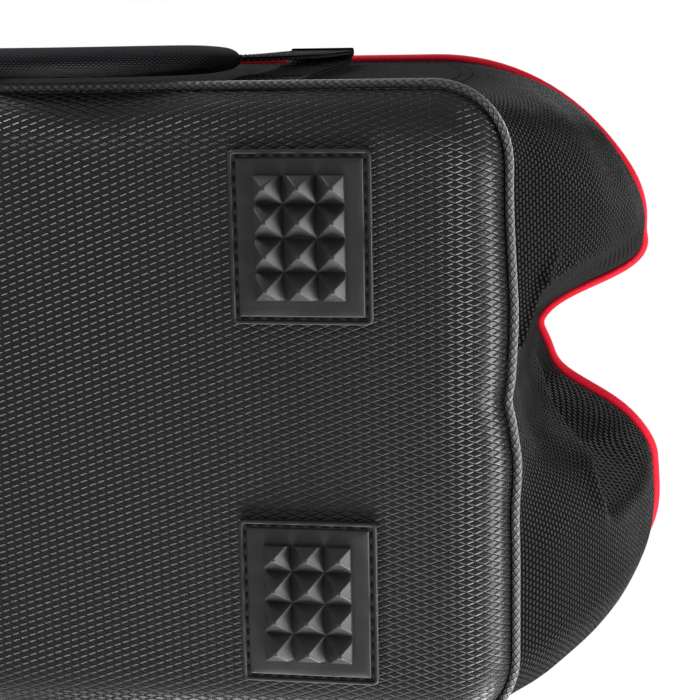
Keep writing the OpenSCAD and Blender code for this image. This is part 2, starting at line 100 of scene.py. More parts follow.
UNDERSIDE_Z = high("foot_front_right")[2]
SEAM_Z = low("right_end_wall")[2]
RIM_Z = high("right_end_wall")[2]
PADDING_TOP_Z = high("right_end_foam")[2]
WALL_HEIGHT = RIM_Z - SEAM_Z
LID_SKIN_Z = low("lid_band")[2]
LID_SEAM_Z = high("lid_band")[2]
LID_CROWN = high("lid_top")[2] - LID_SEAM_Z
BAND_HEIGHT = LID_SEAM_Z - LID_SKIN_Z
LID_PADDING_Z = low("lid_foam")[2]
WELT_RADIUS = 1.75
PIPING_RADIUS = 2.3
PIPING_Z, LID_PIPING_Z = centre_of("rim_piping")[2], centre_of("lid_piping")[2]
FOAM_DEPTH = FABRIC + CLEARANCE
LINING_DEPTH = FOAM_DEPTH + FOAM + CLEARANCE
TAPE_DEPTH, TAPE = FABRIC + 2 * CLEARANCE, 0.8
COIL_DEPTH, COIL = 0.6, 2.8
WEBBING_WIDTH, WEBBING = 30, 2.0
HANDLE_HALF, HANDLE_ARCH_Z = 75, 106
print("seam", SEAM_Z, "rim", RIM_Z, "lid", LID_SKIN_Z, "to", LID_SEAM_Z + LID_CROWN)

# %% [markdown]
# ## Camera
#
# The view is from under the bag, close to one foot, with a long lens. The place and the three
# directions come from the corners and studs of the foot, whose sizes are known.

# %% Camera under the right front foot
FOCAL_PIXELS, IMAGE_PIXELS, SENSOR = 1673.2, 700, 36.0
CAMERA_PLACE = (214.5, -151.6, -614.4)
CAMERA_RIGHT = (0.98760, 0.01750, 0.15590)
CAMERA_UP = (-0.01270, -0.98160, 0.19070)
CAMERA_FORWARD = (-0.15640, 0.19030, 0.96920)

camera = bpy.data.objects.new("camera", bpy.data.cameras.new("camera"))
bpy.context.scene.collection.objects.link(camera)
camera.data.sensor_width = SENSOR
camera.data.lens = FOCAL_PIXELS * SENSOR / IMAGE_PIXELS
facing = Matrix((CAMERA_RIGHT, CAMERA_UP, [-value for value in CAMERA_FORWARD])).transposed()
camera.matrix_world = Matrix.Translation(Vector(CAMERA_PLACE) * MM) @ facing.to_4x4()
bpy.context.scene.camera = camera
bpy.context.scene.view_settings.view_transform = "Standard"
print("lens", round(camera.data.lens, 2), "mm")

# %% [markdown]
# ## Node networks as arithmetic
#
# A finish such as an embossed lattice is a formula in two coordinates. One small class wraps a
# node's output and adds a Math node for each operator, so that the formula reads as it is
# written. Every other node comes from one method.


# %% A socket that can be reckoned with
class Value:
    """A node's output. Arithmetic on it adds Math nodes to its material."""

    def __init__(self, tree, socket=None):
        self.tree, self.socket = tree, socket

    def node(self, kind, inputs=None, output=0, **settings):
        """Adds a node, makes its settings, then links or sets its inputs."""
        made = self.tree.nodes.new("ShaderNode" + kind)
        for name, setting in settings.items():
            setattr(made, name, setting)
        for name, value in (inputs or {}).items():
            if isinstance(value, Value):
                self.tree.links.new(value.socket, made.inputs[name])
            elif isinstance(value, tuple) and len(value) == 3 and made.inputs[name].type == "RGBA":
                made.inputs[name].default_value = (*value, 1)
            else:
                made.inputs[name].default_value = value
        return Value(self.tree, made.outputs[output] if made.outputs else None)

    def math(self, operation, *others):
        """A Math node on this value and up to two others."""
        return self.node("Math", dict(enumerate((self, *others))), operation=operation)

    def __add__(self, other):
        return self.math("ADD", other)

    def __sub__(self, other):
        return self.math("SUBTRACT", other)

    def __mul__(self, other):
        return self.math("MULTIPLY", other)

    def __truediv__(self, other):
        return self.math("DIVIDE", other)

    def __rsub__(self, other):
        return (self * -1.0) + other

    def __rtruediv__(self, other):
        return self.math("POWER", -1.0) * other

    __radd__, __rmul__ = __add__, __mul__

    def fold(self):
        """0 at whole numbers and 1 halfway between them."""
        return 1.0 - (self.math("FRACT") * 2.0 - 1.0).math("ABSOLUTE")

    def eased(self, start, end):
        """0 before start, 1 after end and a smooth step between."""
        places = {"From Min": start, "From Max": end}
        return self.node("MapRange", {"Value": self, **places}, interpolation_type="SMOOTHSTEP")

    def noise(self, scale, detail=2.0):
        """Noise over this vector, about 0.5. scale is in waves per metre."""
        return self.node("TexNoise", {"Vector": self, "Scale": scale, "Detail": detail})

    def blend(self, one, other):
        """One colour where this is 0 and the other where it is 1."""
        inputs = {0: self, 6: one, 7: other}
        return self.node("Mix", inputs, output=2, data_type="RGBA", clamp_factor=True)


# %% [markdown]
# A finish always ends the same way: a height that bumps the surface, a colour and a roughness
# that may vary, and constants set straight on the shader, where an export still finds them.


# %% Start and end of a finish
def start_finish(name):
    """A new material and a value with its tree, to start the network from."""
    made = bpy.data.materials.new(name)
    made.use_nodes = True
    made.node_tree.nodes.clear()
    return made, Value(made.node_tree)


def cloth_coordinates(flow):
    """Distances along and across a piece's cloth, in millimetres."""
    along = flow.node("SeparateXYZ", {0: flow.node("TexCoord", output="UV")})
    return along, Value(flow.tree, along.socket.node.outputs[1])


def object_place(flow):
    """The place on the bag, in metres, as a vector."""
    return flow.node("TexCoord", output="Object")


def shade(colour, share):
    """A colour made darker or lighter."""
    return tuple(share * part for part in colour)


def end_finish(flow, colour, roughness, height=None, relief=0.3, **constants):
    """Adds the shader and the output. relief is the bump's height in millimetres."""
    inputs = {"Base Color": colour, "Roughness": roughness, **constants}
    if height is not None:
        inputs["Normal"] = flow.node("Bump", {"Height": height, "Distance": relief * MM})
    shader = flow.node("BsdfPrincipled", inputs)
    flow.node("OutputMaterial", {"Surface": shader})


# %% [markdown]
# ## Embossed vinyl
#
# The underside is a coated vinyl pressed with a lattice: two sets of fine grooves cross at a
# shallow angle and leave long raised rhombi. Each set is an eased sawtooth, and their product
# lowers the tips, where two grooves meet, so that light catches each rhombus apart. The colour
# follows the lattice too: the grooves are painted with shade and the rhombi with a little painted
# light. The welt is covered with the same vinyl, pressed with a smaller lattice, but its colour is
# about fifteen times lighter, which is painted light on the welt.

# %% Vinyl finishes
RHOMB_LENGTH, RHOMB_WIDTH = 7.2, 2.8
GROOVE_SLOPE, GRAIN_SHARE = 0.42, 0.16
# The welt's colour is about fifteen times the base vinyl's, though it is the same vinyl: painted
# light on the welt.
VINYL, WELT_VINYL_PAINTED_LIT = (0.0044, 0.0041, 0.0049), (0.066, 0.064, 0.067)


def vinyl_finish(name, rhomb_length, rhomb_width, colour, relief, rough):
    """Vinyl with a lattice of rhombi. relief is in millimetres."""
    made, flow = start_finish(name)
    along, across = cloth_coordinates(flow)
    rising = (along / rhomb_length + across / rhomb_width).fold()
    falling = (along / rhomb_length - across / rhomb_width).fold()
    pad = rising.eased(0.0, GROOVE_SLOPE) * falling.eased(0.0, GROOVE_SLOPE)
    grain = object_place(flow).noise(1400.0, 3.0)
    worn = object_place(flow).noise(9.0, 2.0).eased(0.35, 0.75)
    height = pad + grain * GRAIN_SHARE
    # Painted shade and light: the grooves get a quarter of the vinyl's colour and the rhombi a
    # fifth more.
    tint = pad.eased(0.1, 0.8).blend(shade(colour, 0.25), shade(colour, 1.2))
    roughness = rough + grain * 0.10 - worn * 0.06
    end_finish(flow, tint, roughness, height, relief, **{"Specular IOR Level": 0.19})
    return made


embossed_vinyl = vinyl_finish("embossed_vinyl", RHOMB_LENGTH, RHOMB_WIDTH, VINYL, 0.30, 0.28)
welt_vinyl_painted_lit = vinyl_finish("welt_vinyl_painted_lit", 3.4, 2.4, WELT_VINYL_PAINTED_LIT, 0.26, 0.40)
print("vinyl:", RHOMB_LENGTH, "by", RHOMB_WIDTH, "mm rhombi")

# %% [markdown]
# ## Woven polyester
#
# The walls and the lid are a heavy woven polyester. Its warp comes up in short raised floats
# that lie in rows, each row half a float on from the one beside it. One eased sawtooth along the
# floats and one across the rows multiply to a float's rounded top, and a fine sine across the
# rows gives its filaments. The same formula at other sizes makes the tape, webbing, lining,
# piping and thread.

# %% Woven finishes
FILAMENTS, FILAMENT_SHARE, FUZZ_SHARE = 4, 0.05, 0.2
SHEEN = {"Sheen Weight": 0.06, "Sheen Roughness": 0.25}
BLACK_CLOTH = (0.0066, 0.0063, 0.0061)


def woven_finish(name, float_length, row_height, colour, relief, specular=0.0, painted_top_light=3.0):
    """Cloth with floats of a length in rows of a height. The floats' tops are painted up to the
    last argument times the colour, a painted highlight, and the gaps between them about a third of
    it, a painted shade.
    """
    made, flow = start_finish(name)
    along, across = cloth_coordinates(flow)
    row = (across / row_height).math("FLOOR")
    length = (along / float_length + row * 0.5).fold().eased(0.10, 0.6)
    width = (across / row_height).fold().eased(0.2, 0.85)
    top = length * width
    turns = across * (2 * math.pi * FILAMENTS / row_height)
    strands = turns.math("SINE") * FILAMENT_SHARE
    uneven = object_place(flow).noise(260.0, 3.0)
    height = top + strands + uneven * FUZZ_SHARE
    # Painted highlight and shade: float tops go up to the last argument times the colour and the
    # gaps down to 0.35 of it. The noise adds a random tone of the cloth.
    tint = (top * (uneven * 0.5 + 0.75)).blend(shade(colour, 0.35), shade(colour, painted_top_light))
    roughness = 0.70 + uneven * 0.2 - top * 0.12
    end_finish(flow, tint, roughness, height, relief, **{"Specular IOR Level": specular, **SHEEN})
    return made


wall_weave = woven_finish("wall_weave", 2.6, 2.4, BLACK_CLOTH, 0.35)
tape_weave = woven_finish("tape_weave", 1.2, 0.7, (0.010, 0.010, 0.011), 0.12)
strap_weave = woven_finish("strap_weave", 2.2, 1.5, (0.012, 0.012, 0.013), 0.30)
grip_weave = woven_finish("grip_weave", 1.2, 0.8, (0.014, 0.014, 0.015), 0.15)
lining_knit = woven_finish("lining_knit", 1.4, 0.9, (0.034, 0.034, 0.038), 0.12, painted_top_light=1.8)
piping_cloth = woven_finish(
    "piping_cloth", 1.0, 0.5, (0.78, 0.0004, 0.022), 0.04, specular=0.2, painted_top_light=1.04
)
thread = woven_finish("thread", 0.6, 0.5, (0.030, 0.030, 0.031), 0.06)

# %% [markdown]
# ## Rubber, foam, board and metal
#
# Moulded rubber is nearly smooth, with a faint orange peel and cloudy gloss, and so are the
# board and the coils. Foam shows its cells, so Voronoi distances drive its bump. The sliders are
# dark painted metal and the pulls bare alloy, both finely scratched and worn in patches.


# %% Solid finishes
def moulded_finish(name, colour, rough, relief=0.05, cloud=22.0, **constants):
    """Moulded rubber or plastic. cloud is the scale of the patches in its gloss."""
    made, flow = start_finish(name)
    place = object_place(flow)
    peel = place.noise(900.0, 3.0)
    cloudy = place.noise(cloud, 3.0).eased(0.3, 0.7)
    tint = (cloudy * 0.7 + peel * 0.3).blend(shade(colour, 0.8), shade(colour, 1.2))
    end_finish(flow, tint, rough + cloudy * 0.1 + peel * 0.08, peel, relief, **constants)
    return made


def cellular_finish(name, colour, cell):
    """Foam with cells of a size in millimetres."""
    made, flow = start_finish(name)
    inputs = {"Vector": object_place(flow), "Scale": 1 / (cell * MM)}
    cells = flow.node("TexVoronoi", inputs, feature="F1")
    pit = cells.eased(0.1, 0.6)
    # Painted shade: the pits of the cells are painted down to 0.4 of the foam's colour.
    tint = pit.blend(shade(colour, 0.4), colour)
    end_finish(flow, tint, 0.9, pit, 0.4, **{"Specular IOR Level": 0.2})
    return made


def metal_finish(name, colour, rough, metallic):
    """Metal with fine scratches and patches of wear."""
    made, flow = start_finish(name)
    place = object_place(flow)
    scratches = place.noise(600.0, 4.0)
    worn = place.noise(90.0, 2.0).eased(0.45, 0.65)
    tint = worn.blend(colour, shade(colour, 0.75))
    roughness = rough + scratches * 0.12 + worn * 0.06
    end_finish(flow, tint, roughness, scratches, 0.02, Metallic=metallic)
    return made


foot_rubber = moulded_finish(
    "foot_rubber", (0.0165, 0.0165, 0.0175), 0.34, 0.05, 60.0, **{"Specular IOR Level": 0.20}
)
stiff_board = moulded_finish("stiff_board", (0.15, 0.15, 0.14), 0.6)
coil_plastic = moulded_finish("coil_plastic", (0.022, 0.022, 0.024), 0.35)
soft_foam = cellular_finish("soft_foam", (0.10, 0.10, 0.11), 0.9)
slider_paint = metal_finish("slider_paint", (0.10, 0.10, 0.11), 0.3, 0.8)
pull_alloy = metal_finish("pull_alloy", (0.50, 0.50, 0.51), 0.28, 1.0)
print("finishes:", len(bpy.data.materials))

# %% [markdown]
# ## Turning rows of points into cloth
#
# Cloth here is a grid: rows of points from one edge to the other. A second grid a fabric's
# thickness inside closes it to a real shell. The distances along and across the cloth are kept
# as a UV map, so that a weave keeps its scale wherever the cloth bends.


# %% A piece from points
def make_piece(name, points, faces, material, corners=None, sharp=40.0):
    """A mesh piece from points in millimetres. corners are the cloth distances per corner."""
    mesh = bpy.data.meshes.new(name)
    mesh.from_pydata((np.asarray(points, float) * MM).tolist(), [], faces)
    mesh.materials.append(material)
    if corners is not None:
        layer = mesh.uv_layers.new(name="cloth")
        layer.uv.foreach_set("vector", np.asarray(corners, np.float32).ravel())
    mesh.validate()
    mesh.shade_smooth()
    mesh.set_sharp_from_angle(angle=math.radians(sharp))
    piece = bpy.data.objects.new(name, mesh)
    bpy.context.scene.collection.objects.link(piece)
    return piece


def dress(piece, body, slot, *nodes):
    """Makes a piece ride on a body and hides the nodes that it stands for. slot is not used."""
    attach(piece, body)
    if nodes:
        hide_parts(*nodes)
    return piece


# %% Faces and distances of a grid
def grid_quads(rows, cols, wrapped):
    """Corner indices of the quads of a grid, turned to face outwards."""
    row, col = np.meshgrid(
        np.arange(rows - 1), np.arange(cols if wrapped else cols - 1), indexing="ij"
    )
    a, b = row * cols + col, row * cols + (col + 1) % cols
    quads = np.stack([a, b, b + cols, a + cols], -1).reshape(-1, 4)
    ends = np.stack([row, col, row, col + 1, row + 1, col + 1, row + 1, col], -1)
    return quads, ends.reshape(-1, 4, 2)


def joined(grid):
    """A grid with its first column once more at the end, for a band that closes on itself."""
    return np.concatenate([grid, grid[:, :1]], 1)


def distances_along(path):
    """Distance of each point from the first, along a path."""
    return np.concatenate([[0], np.cumsum(np.linalg.norm(np.diff(path, axis=0), axis=1))])


def grid_distances(grid, wrapped):
    """Cloth distances along the rows and across them, with one more column if wrapped."""
    if wrapped:
        grid = joined(grid)
    along = distances_along(grid[len(grid) // 2])
    rise = np.linalg.norm(np.diff(grid, axis=0), axis=2)
    across = np.concatenate([np.zeros((1, grid.shape[1])), np.cumsum(rise, 0)])
    return np.stack([np.broadcast_to(along, across.shape), across], -1)


def outward(grid, wrapped):
    """Unit normals of a grid of points, pointing out of the bag."""
    if wrapped:
        along = np.roll(grid, -1, 1) - np.roll(grid, 1, 1)
    else:
        along = np.gradient(grid, axis=1)
    normal = np.cross(along, np.gradient(grid, axis=0))
    return normal / np.maximum(np.linalg.norm(normal, axis=2, keepdims=True), 1e-9)


# %% A closed cloth between two grids
def shell(name, outer, inner, material, wrapped, distances=None):
    """A closed cloth between an outer and an inner grid of points, bottom row first."""
    rows, cols = outer.shape[:2]
    count = rows * cols
    if distances is None:
        distances = grid_distances(outer, wrapped)
    quads, ends = grid_quads(rows, cols, wrapped)
    at = distances[ends[..., 0], ends[..., 1]]
    faces = [quads, quads[:, ::-1] + count]
    corners = [at, at[:, ::-1]]
    last = cols if wrapped else cols - 1
    for row, turn in ((0, 1), (rows - 1, -1)):
        a = row * cols + np.arange(last)
        b = row * cols + (np.arange(last) + 1) % cols
        rim = np.stack([a, a + count, b + count, b], -1)
        faces.append(rim[:, ::turn])
        here, there = distances[row, :last], distances[row, 1 : last + 1]
        corners.append(np.stack([here, here, there, there], 1)[:, ::turn])
    if not wrapped:
        for col, turn in ((0, -1), (cols - 1, 1)):
            a = np.arange(rows - 1) * cols + col
            side = np.stack([a, a + count, a + cols + count, a + cols], -1)
            faces.append(side[:, ::turn])
            here, there = distances[:-1, col], distances[1:, col]
            corners.append(np.stack([here, here, there, there], 1)[:, ::turn])
    points = np.concatenate([outer.reshape(-1, 3), inner.reshape(-1, 3)])
    faces, corners = np.concatenate(faces), np.concatenate(corners)
    return make_piece(name, points, faces.tolist(), material, corners.reshape(-1, 2))


# %% [markdown]
# ## Cords, straps and coils
#
# Welt, piping, straps, grips and the zip's coils are all one closed section swept along a path.
# Each ring of the section stands on two directions, so the same function serves them all, and
# its distances along and round the section go into the UV map.


# %% Sweep a section along a path
def sweep(name, path, side, rise, section, material, closed=False, swell=None, sharp=60):
    """Sweeps a closed section, given as offsets to the side and the rise, along points."""
    path, section = np.asarray(path, float), np.asarray(section, float)
    count, sides = len(path), len(section)
    size = np.ones(count) if swell is None else swell
    ring = side[:, None] * section[:, :1] + rise[:, None] * section[:, 1:]
    points = path[:, None] + size[:, None, None] * ring
    grid = np.concatenate([points, points[:1]]) if closed else points
    along = distances_along(grid[:, 0])
    around = distances_along(np.concatenate([section, section[:1]]))
    i, k = np.meshgrid(np.arange(len(grid) - 1), np.arange(sides), indexing="ij")
    here, there = i * sides, (i + 1) % count * sides
    turn = (k + 1) % sides
    faces = np.stack([here + k, here + turn, there + turn, there + k], -1).reshape(-1, 4)
    places = [(i, k), (i, k + 1), (i + 1, k + 1), (i + 1, k)]
    corners = np.stack([np.stack([along[a], around[b]], -1) for a, b in places], 2)
    faces, corners = faces.tolist(), corners.reshape(-1, 2)
    if not closed:
        faces.append(list(range(sides))[::-1])
        faces.append([(count - 1) * sides + k for k in range(sides)])
        corners = np.concatenate([corners, np.zeros((2 * sides, 2))])
    return make_piece(name, points.reshape(-1, 3), faces, material, corners, sharp)


def directions(path, closed=False):
    """Unit steps along a path, point by point."""
    if closed:
        steps = np.roll(path, -1, 0) - np.roll(path, 1, 0)
    else:
        steps = np.gradient(path, axis=0)
    return steps / np.linalg.norm(steps, axis=1, keepdims=True)


# %% Sections, cords and even steps
def mix(start, end, share):
    return start + (end - start) * share


def circle(radius, sides):
    turns = 2 * math.pi * np.arange(sides) / sides
    return radius * np.stack([np.cos(turns), np.sin(turns)], 1)


def oblong(wide, tall, corner, steps=4, parts=1):
    """A rectangle with rounded corners, anticlockwise. parts divides each straight side."""
    points = []
    for quarter in range(4):
        centre = np.array((
            (wide / 2 - corner) * (1 if quarter in (0, 3) else -1),
            (tall / 2 - corner) * (1 if quarter in (0, 1) else -1),
        ))
        turns = np.radians(90 * quarter + np.linspace(0, 90, steps + 1))
        points.append(centre + corner * np.stack([np.cos(turns), np.sin(turns)], 1))
    shape = []
    for quarter in range(4):
        start, end = points[quarter][-1], points[(quarter + 1) % 4][0]
        side = [mix(start, end, part / parts) for part in range(1, parts)]
        shape += [*points[quarter], *side]
    return np.array(shape)


def tube(name, path, radius, sides, material, closed=True):
    """A round cord along level points."""
    path = np.asarray(path, float)
    side = np.cross(directions(path, closed), (0, 0, 1))
    side /= np.linalg.norm(side, axis=1, keepdims=True)
    rise = np.tile((0.0, 0.0, 1.0), (len(path), 1))
    return sweep(name, path, side, rise, circle(radius, sides), material, closed)


def resampled(path, step):
    """Points at even steps along an open path."""
    places = distances_along(path)
    even = np.linspace(0, places[-1], int(places[-1] / step) + 1)
    return np.stack([np.interp(even, places, path[:, i]) for i in range(path.shape[1])], 1)


# %% [markdown]
# ## The plan
#
# Every level section of the bag is one closed outline: an arc at each corner, two lobes at each
# end with a pinch between them, and straight sides. The far end is the near end turned half
# round, so only half of the outline is worked out.

# %% Plan of the bag at one height
CORNER_STEPS, SHOULDER_STEPS, FLANK_STEPS, SIDE_STEPS = 14, 26, 38, 40
END_COLUMNS = 2 * (CORNER_STEPS + SHOULDER_STEPS + FLANK_STEPS)
HALF_COLUMNS = END_COLUMNS + SIDE_STEPS
CORNER_PLACE = HALF_WIDTH - BASE_CORNER
END_STOPS = (
    -CORNER_PLACE, PINCH_PLACE - FRONT_FLANK, PINCH_PLACE, PINCH_PLACE + BACK_FLANK, CORNER_PLACE
)
END_PLACES = np.concatenate([
    np.linspace(start, end, steps, endpoint=False)
    for start, end, steps in zip(
        END_STOPS, END_STOPS[1:], (SHOULDER_STEPS, FLANK_STEPS, FLANK_STEPS, SHOULDER_STEPS)
    )
])


def ease(share):
    """A smooth step from 0 to 1."""
    share = np.clip(share, 0, 1)
    return share * share * (3 - 2 * share)


def bell(distance, reach):
    """1 at no distance, fading smoothly to nearly 0 at twice the reach."""
    return np.exp(-((distance / reach) ** 2))


# Where the rim has given way across an end: place, reach and how far it moved out. The same for
# the lid's seam and the seam of the base.
RIM_GIVES = (
    (-76, 13, 1.2), (-49, 10, -3.0), (-22, 11, -3.3), (-4, 7, -2.0), (20, 14, -9.6), (50, 16, -3.4),
    (74, 15, -1.5),
)
LID_GIVES = ((-4, 30, -7.0),)
SEAM_GIVES = ((-92, 45, -2.8), (-7, 6, -1.2), (18, 14, 1.9))
SEAM_GIVE_SHARE = 0.4


def given(y, gives):
    """How far places across an end have moved out."""
    return sum(moved * bell(y - place, reach) for place, reach, moved in gives)


def pinch_share(y):
    """1 at the pinch across an end, fading to 0 at the crown of each lobe."""
    return 1 - ease(abs(y - PINCH_PLACE) / np.where(y < PINCH_PLACE, FRONT_FLANK, BACK_FLANK))


def arc(centre, radius, start, end, steps, give):
    """A corner. What has given way is added as the corner turns into the end."""
    angle = np.radians(np.linspace(start, end, steps, endpoint=False))
    points = np.array(centre) + radius * np.stack([np.cos(angle), np.sin(angle)], 1)
    points[:, 0] += give(points[:, 1]) * np.cos(angle)
    return points


# %% [markdown]
# A lobe is the arc of its corner, and the crown that the arc reaches before it turns into the
# pinch. The walls' outline grows from the seam to the rim, fast at first, and the lid's shrinks
# from the rim to the top seam.

# %% Outlines of the walls and the lid
# Half lengths at the front lobe, the pinch and the back lobe, and the radii of the corners
SEAM_HALVES = HALF_LENGTH - np.array((0, SEAM_DENT, 0))
RIM_HALVES = HALF_LENGTH + np.array((FRONT_LOBE, PINCH_OUT, BACK_LOBE))
RIM_CORNERS = np.array((FRONT_LOBE_CORNER, BACK_LOBE_CORNER))


def lobe(half, half_width, corner, depth, sign):
    """Centre and radius of a lobe's corner, the angle where it ends, and the lobe's crown."""
    centre, radius = (half - corner, sign * (half_width - corner)), corner - depth
    edge = math.degrees(math.asin((sign * CORNER_PLACE - centre[1]) / radius))
    beyond = np.maximum(sign * (END_PLACES - centre[1]), 0)
    return centre, radius, edge, centre[0] + np.sqrt(np.maximum(radius**2 - beyond**2, 0))


def plan(halves, half_width, corners, depth, give):
    """Closed level outline, depth inside the outer face. give is how far each place has given."""
    front, front_radius, front_edge, front_crown = lobe(
        halves[0], half_width, corners[0], depth, -1
    )
    back, back_radius, back_edge, back_crown = lobe(halves[2], half_width, corners[1], depth, 1)
    crown = np.where(END_PLACES < PINCH_PLACE, front_crown, back_crown)
    end = mix(crown, halves[1] - depth, pinch_share(END_PLACES)) + give(END_PLACES)
    side_share = np.linspace(0, 1, SIDE_STEPS, endpoint=False)[:, None]
    side = mix(
        np.array([back[0], half_width - depth]), np.array([-front[0], half_width - depth]),
        side_share,
    )
    half = np.concatenate([
        arc(front, front_radius, -90, front_edge, CORNER_STEPS, give),
        np.stack([end, END_PLACES], 1),
        arc(back, back_radius, back_edge, 90, CORNER_STEPS, give), side,
    ])
    return np.concatenate([half, -half])


def bulged(share):
    """How far the walls have bulged at a share of their height."""
    return 1 - (1 - share) ** WALL_BULGE


def wall_plan(share, depth=0.0):
    """Outline of the walls at a share of their height, 0 at the seam and 1 at the rim."""
    out, seam_hold = bulged(share), 1 - ease(share / SEAM_GIVE_SHARE)
    return plan(
        mix(SEAM_HALVES, RIM_HALVES, out), HALF_WIDTH + RIM_FLARE * share,
        mix(BASE_CORNER, RIM_CORNERS, share), depth,
        lambda y: out * given(y, RIM_GIVES) + seam_hold * given(y, SEAM_GIVES),
    )


def lid_plan(share, depth=0.0):
    """Outline of the lid at a share of its way in, 0 over the rim and 1 at the top seam."""
    return plan(
        mix(RIM_HALVES, LID_SEAM_LENGTH / 2, share),
        mix(HALF_WIDTH + RIM_FLARE, LID_SEAM_WIDTH / 2, share),
        mix(RIM_CORNERS, LID_SEAM_CORNER, share), depth,
        lambda y: (1 - share) * given(y, RIM_GIVES) + share * given(y, LID_GIVES),
    )


def at_height(outline, z):
    """The points of a level outline at a height."""
    return np.concatenate([outline, np.full((len(outline), 1), float(z))], 1)


def spread(outline, distance):
    """A closed outline moved outwards by an even distance."""
    ahead = np.roll(outline, -1, 0) - np.roll(outline, 1, 0)
    normal = np.stack([ahead[:, 1], -ahead[:, 0]], 1)
    return outline + distance * normal / np.linalg.norm(normal, axis=1, keepdims=True)


print("outline points:", 2 * HALF_COLUMNS)

# %% [markdown]
# ## Where the cloth gives
#
# Cloth never keeps a drawn plan. The front lobe breaks along one sharp ridge that climbs from the
# seam, and falls straight from there to the pinch. The back lobe has a hollow under its rim. Each
# is a smooth function of the place across the end and of the share of the height.

# %% Shape of the ends
RIDGE_SHARES = (0.0, 0.033, 0.071, 0.114, 0.25, 0.45, 0.70, 1.0)
RIDGE_PLACES = (-25.0, -28.0, -39.0, -50.0, -54.0, -57.0, -58.0, PINCH_PLACE - FRONT_FLANK)
VALLEY_SHARES = (0.0, 0.033, 0.071, 0.114, 0.25, 0.50, 0.75, 1.0)
VALLEY_PLACES = (-22.0, -24.0, -31.0, -34.0, -32.0, -26.0, -16.0, PINCH_PLACE)
RIDGE_SOFT, VALLEY_SOFT = 0.001, 0.01
# The hollow: its depth, its lower edge at the pinch and behind, and the width of its edges
HOLLOW_DEPTH, HOLLOW_LOW, HOLLOW_LOWEST = 20.0, 0.70, 0.38
HOLLOW_LOWER_EDGE, HOLLOW_UPPER_EDGE = 0.09, 0.28


def folded_flank(y, share):
    """0 at the front lobe's ridge and 1 from the valley beside the pinch on."""
    ridge = np.interp(share, RIDGE_SHARES, RIDGE_PLACES)
    valley = np.interp(share, VALLEY_SHARES, VALLEY_PLACES)
    way = (y - ridge) / (valley - ridge)
    rising = 0.5 * (way + np.sqrt(way * way + RIDGE_SOFT))
    beyond = 0.5 * (way - 1 + np.sqrt((way - 1) ** 2 + VALLEY_SOFT))
    return mix(rising - beyond, ease(way), ease((share - 0.5) / 0.5))


# Each fold is a line of points (place across the end, share of the height), its height and reach
FOLDS = (
    (((-50.0, 0.114), (-55.0, 0.14), (-60.3, 0.168)), 1.3, 2.2),
    (((-50.0, 0.114), (-52.0, 0.18), (-54.0, 0.25)), 1.3, 2.2),
    (((-26.0, 0.0), (-28.0, 0.033), (-39.0, 0.071), (-50.0, 0.114)), 1.5, 2.2),
    (((8.0, 0.68), (19.0, 0.62), (27.0, 0.54), (40.0, 0.42), (53.0, 0.38)), 1.8, 6.0),
)


def line_distance(y, z, line):
    """Distance of places from a line of points in the plane of Y and height."""
    nearest = np.full(np.broadcast(y, z).shape, np.inf)
    points = [np.array((py, SEAM_Z + WALL_HEIGHT * share)) for py, share in line]
    for one, other in zip(points, points[1:]):
        step = other - one
        along = ((y - one[0]) * step[0] + (z - one[1]) * step[1]) / step.dot(step)
        along = np.clip(along, 0, 1)
        gap = np.hypot(y - one[0] - along * step[0], z - one[1] - along * step[1])
        nearest = np.minimum(nearest, gap)
    return nearest


def broad_shift(y, share):
    """How far out the cloth of an end lies from the drawn plan, in millimetres."""
    reach = SEAM_DENT + (FRONT_LOBE - PINCH_OUT - SEAM_DENT) * bulged(share)
    hold = ease(share / 0.03) * (y < PINCH_PLACE)
    shift = reach * (pinch_share(y) - folded_flank(y, share)) * hold
    ridge = mix(HOLLOW_LOW, HOLLOW_LOWEST, ease((y - 2) / 50))
    above = ease((share - ridge) / HOLLOW_LOWER_EDGE) * ease((1 - share) / HOLLOW_UPPER_EDGE)
    hollow = ease((y + 2) / 22) * (1 - ease((y - 42) / 26))
    return shift - HOLLOW_DEPTH * above * hollow


def off_seams(share, seam_reach, rim_reach):
    """0 at the seam and at the rim, 1 from a reach away from both."""
    return ease(share / seam_reach) * ease((1 - share) / rim_reach)


def fold_rise(y, share):
    """How far the sharp folds stand out of the cloth, in millimetres."""
    z = SEAM_Z + WALL_HEIGHT * share
    total = sum(rise * bell(line_distance(y, z, line), reach) for line, rise, reach in FOLDS)
    return total * off_seams(share, 0.015, 0.03)


WAVES, WAVE_LENGTHS = 14, (28, 90)


def unevenness(grid, strength, seed):
    """Soft random swells over a grid of points, by a few waves of random direction."""
    random = np.random.default_rng(seed)
    total = np.zeros(grid.shape[:2])
    for _ in range(WAVES):
        direction = random.normal(size=3)
        direction /= np.linalg.norm(direction)
        length = random.uniform(*WAVE_LENGTHS)
        total += np.sin(grid @ direction * 2 * math.pi / length + random.uniform(0, 6.28))
    return strength * total / math.sqrt(WAVES)


# %% [markdown]
# The whole wall is worked out as one grid, so that panels meet exactly in their seams, and is
# then cut into the four panels that the real bag is sewn from. Near the seam and the rim, the
# welt and the piping hold the cloth, so the swells fade out there.

# %% Grid of the walls' outer face
FINE_ROWS, COARSE_ROWS, FINE_SHARE, WALL_SWELL = 72, 64, 0.3, 0.6
wall_shares = np.concatenate([
    np.linspace(0, FINE_SHARE, FINE_ROWS, endpoint=False), np.linspace(FINE_SHARE, 1, COARSE_ROWS)
])


